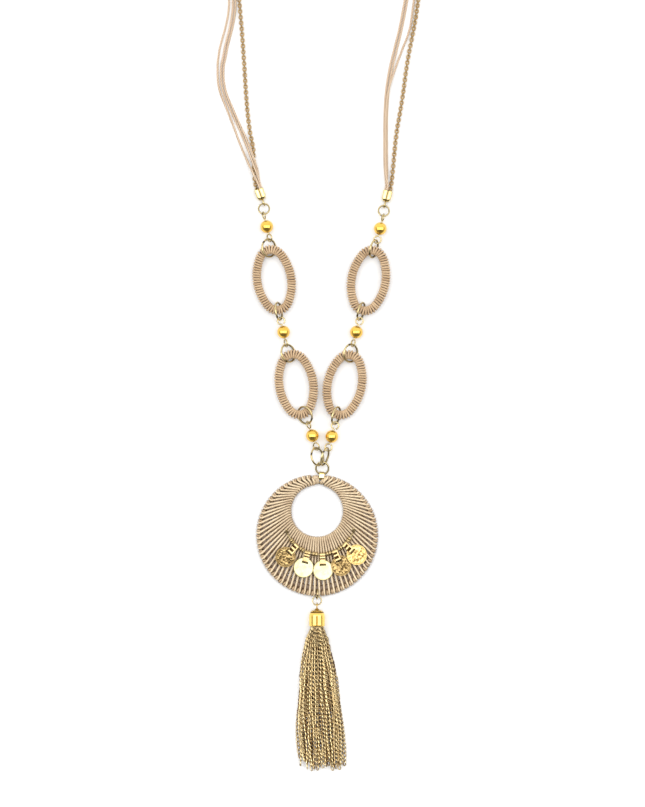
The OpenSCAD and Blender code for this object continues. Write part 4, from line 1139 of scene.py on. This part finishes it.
for i, (_, _, finish, relief) in enumerate(COINS):
    points, faces = coin_shape(relief, 40 + i)
    points = points + [0, COIN_MIDDLE, -COIN_T / 2]
    blank = cut((points, faces), (-SLOT_HALF, SLOT_FROM, -1), (SLOT_HALF, SLOT_TO, 1))
    x, y, z = blank[0].T
    away = np.hypot(x, y - COIN_MIDDLE)
    in_slot = (np.abs(x) < SLOT_HALF + 0.02) & (y > SLOT_FROM - 0.02) & (y < SLOT_TO + 0.02)
    low_place = ((COIN_T / 2 - BORDER_H - z) / max(relief, 0.1) + 0.4).clip(0, 1) * (away < COIN_R - BORDER_W)
    corner = np.exp(-((away - COIN_R + BORDER_W) / 0.12) ** 2) * 0.8
    # A mirror coin's rounded rim is painted dark, as shade; a struck one's low places and border foot are
    # tarnished
    dull = np.maximum(low_place * 0.85, corner) if relief else (away > COIN_R - 0.2) * 0.9
    add_piece(f"struck_coin_{i + 1}", fallen(blank, i, COIN_ROLL), finish, [f"coin_{i + 1}"],
              sharp=35, tarnish=np.maximum(dull, in_slot * 0.95))

# %% [markdown]
# ## Strips, tubes and their wire
#
# A strip of gold is folded round the wire and through the slot of each coin. Its face is pressed into panels,
# which have gone dark, and the bars between them stay bright. Short ribbed tubes on the wire keep the strips
# apart. The same fold, plain and wider, ties the disc to its ring. The wire itself is wound into a small post
# at both ends, and its cut tip sticks out there.

# %% Strips, tubes and their wire
STRIP_W, STRIP_T, STRIP_IN, STRIP_L, STRIP_EDGE = 2.6, 0.3, 0.6, 4.2, 0.06
SPACERS = (231, 210.5, 188, 165.7, 145.7, 125.7)
# Rows: share of the way across where a panel starts and ends, then its two stretches along the strip
WINDOWS = ((-0.55, 1.1), (0.45, 1.5), (2.25, 3.5))
RIBS = ((-1.1, 1.1), (0.5, 0.95), (1.75, 2.3))
STRAP_AT, STRAP_IN, STRAP_L, STRAP_W = np.array([-0.453, -130.777, 1.5]), 0.926, 1.425, 2.4
POST_TURNS, POST_R, POST_DROP, WIRE_R = 2.4, 0.5, 1.0, 0.3


def folded_strip(inside, reach, wide, panels=None):
    """A strip folded round two wires, and how dull each of its points is."""
    half, t = wide / 2, STRIP_T / 2
    r, flat, edge = inside + t, half - STRIP_EDGE, t - STRIP_EDGE
    bend = np.radians(np.linspace(0, 180, 22))
    line = [(0, reach + r * math.sin(a), r * math.cos(a)) for a in bend]
    line += [(0, -r * math.sin(a), -r * math.cos(a)) for a in bend]
    line = spread_evenly(np.array(line), 0.09, closed=True)
    out = np.cross(headings(line, closed=True), [1.0, 0, 0])
    out = out * np.sign(out[line[:, 2].argmax(), 2])
    across = np.concatenate([np.linspace(-flat, flat, 25), [half, half, flat, 0, -flat, -half, -half]])
    up = np.concatenate([np.full(25, t), [edge, -edge, -t, -t, -t, -edge, edge]])
    pressed = np.zeros((len(line), len(across)))
    if panels:
        (start, stop), *stretches = panels
        wide_share = (across / half > start) & (across / half < stop) & (up == t)
        for low, high in stretches:
            pressed += ((line[:, 1] > low) & (line[:, 1] < high) & (line[:, 2] > 0))[:, None] * wide_share
    section = np.stack([np.broadcast_to(across, pressed.shape), up - pressed * STRIP_T * 0.6], -1)
    # The underside is painted darker, as shade, and the pressed panels are dark with tarnish
    dull = np.where(pressed > 0, 1.0, 0.12) + (up < 0) * 0.5
    shape = sweep(line, section, closed=True, frames=((1, 0, 0), out))
    return shape, dull.clip(0, 1).ravel()


def ribbed_tube():
    # Radius and distance from the middle, from the bore over the end to the groove between the two ribs
    half = [(0.5, 0.0), (0.5, 1.0), (0.56, 1.2), (0.7, 1.25), (0.92, 1.23), (1.04, 1.12), (1.0, 1.0),
            (0.94, 0.9), (1.02, 0.8), (1.1, 0.6), (1.08, 0.36), (0.98, 0.18), (0.78, 0.06), (0.74, 0.0)]
    return lathe(half + [(a, -b) for a, b in half[-2:0:-1]], 36, closed=True)


def hanger_line():
    """From one cut tip round the first post, along the arc and round the second post to the other tip."""
    def post(heading, sense):
        turn = np.linspace(0, POST_TURNS * 2 * np.pi, 44)[:, None]
        coil = np.cos(turn) * heading_of(heading) + sense * np.sin(turn) * across_from(heading)
        coil = POST_R * coil + (0.35 - POST_DROP * turn / turn[-1]) * UP
        tip = coil[-1] + across_from(heading) * sense * 1.1
        return np.vstack([coil, tip]) + on_arc(heading)
    arc = np.array([on_arc(h) for h in np.linspace(ARC_FROM + 2.5, ARC_TO - 2.5, 120)])
    return np.vstack([post(ARC_FROM, -1)[::-1], arc, post(ARC_TO, 1)])


for i in range(len(COINS)):
    strip, dull = folded_strip(STRIP_IN, STRIP_L, STRIP_W, RIBS if i in (1, 2) else WINDOWS)
    add_piece(f"pressed_strip_{i + 1}", fallen(strip, i), worn_gold, [f"coin_strip_{i + 1}"],
              sharp=40, tarnish=dull)

tube = ribbed_tube()
tubes = joined([placed(tube, on_arc(h), h + 90) for h in SPACERS])
groove_mark = ((1.0 - np.hypot(tube[0][:, 0], tube[0][:, 2])) * 4).clip(0, 1)
add_piece("ribbed_tubes", tubes, worn_gold, ["spacer_tubes"], sharp=60,
          tarnish=np.tile(groove_mark, len(SPACERS)))

strap, dull = folded_strip(STRAP_IN, STRAP_L, STRAP_W)
add_piece("rim_fold", placed(strap, STRAP_AT, STRAP_TURN), pale_gold, ["rim_strap"],
          sharp=50, tarnish=dull * 0.8)

wire = spread_evenly(hanger_line(), 0.16)
near_post = np.minimum(*(np.linalg.norm(wire - on_arc(h), axis=1) for h in (ARC_FROM, ARC_TO)))
add_piece("coin_hanger", sweep(wire, round_section(WIRE_R, 10)), antique_brass, ["coin_wire"],
          tarnish=np.repeat((1.1 - near_post * 0.5).clip(0.35, 0.95), 10))

# %% [markdown]
# ## The table top
#
# The necklace lies on a plain white board, so the floor is one large square with a faint grain.

# %% The table top
FLOOR_HALF = 1.6
board = Finish("white board", None, Roughness=0.65, Specular_IOR_Level=0.3)
board.feed(Base_Color=board.mix(board.noise(1.5, 2.0), (0.86, 0.86, 0.86, 1), (0.9, 0.9, 0.9, 1)))
square = [(-1, -1), (1, -1), (1, 1), (-1, 1)]
corners = [(x * FLOOR_HALF, y * FLOOR_HALF + TABLE_MIDDLE.y, 0.0) for x, y in square]
mesh = bpy.data.meshes.new("table_top")
mesh.from_pydata(corners, [], [(0, 1, 2, 3)])
mesh.materials.append(board.material)
table_top = bpy.data.objects.new("table_top", mesh)
scene.collection.objects.link(table_top)
print("table top", 2 * FLOOR_HALF, "m square")
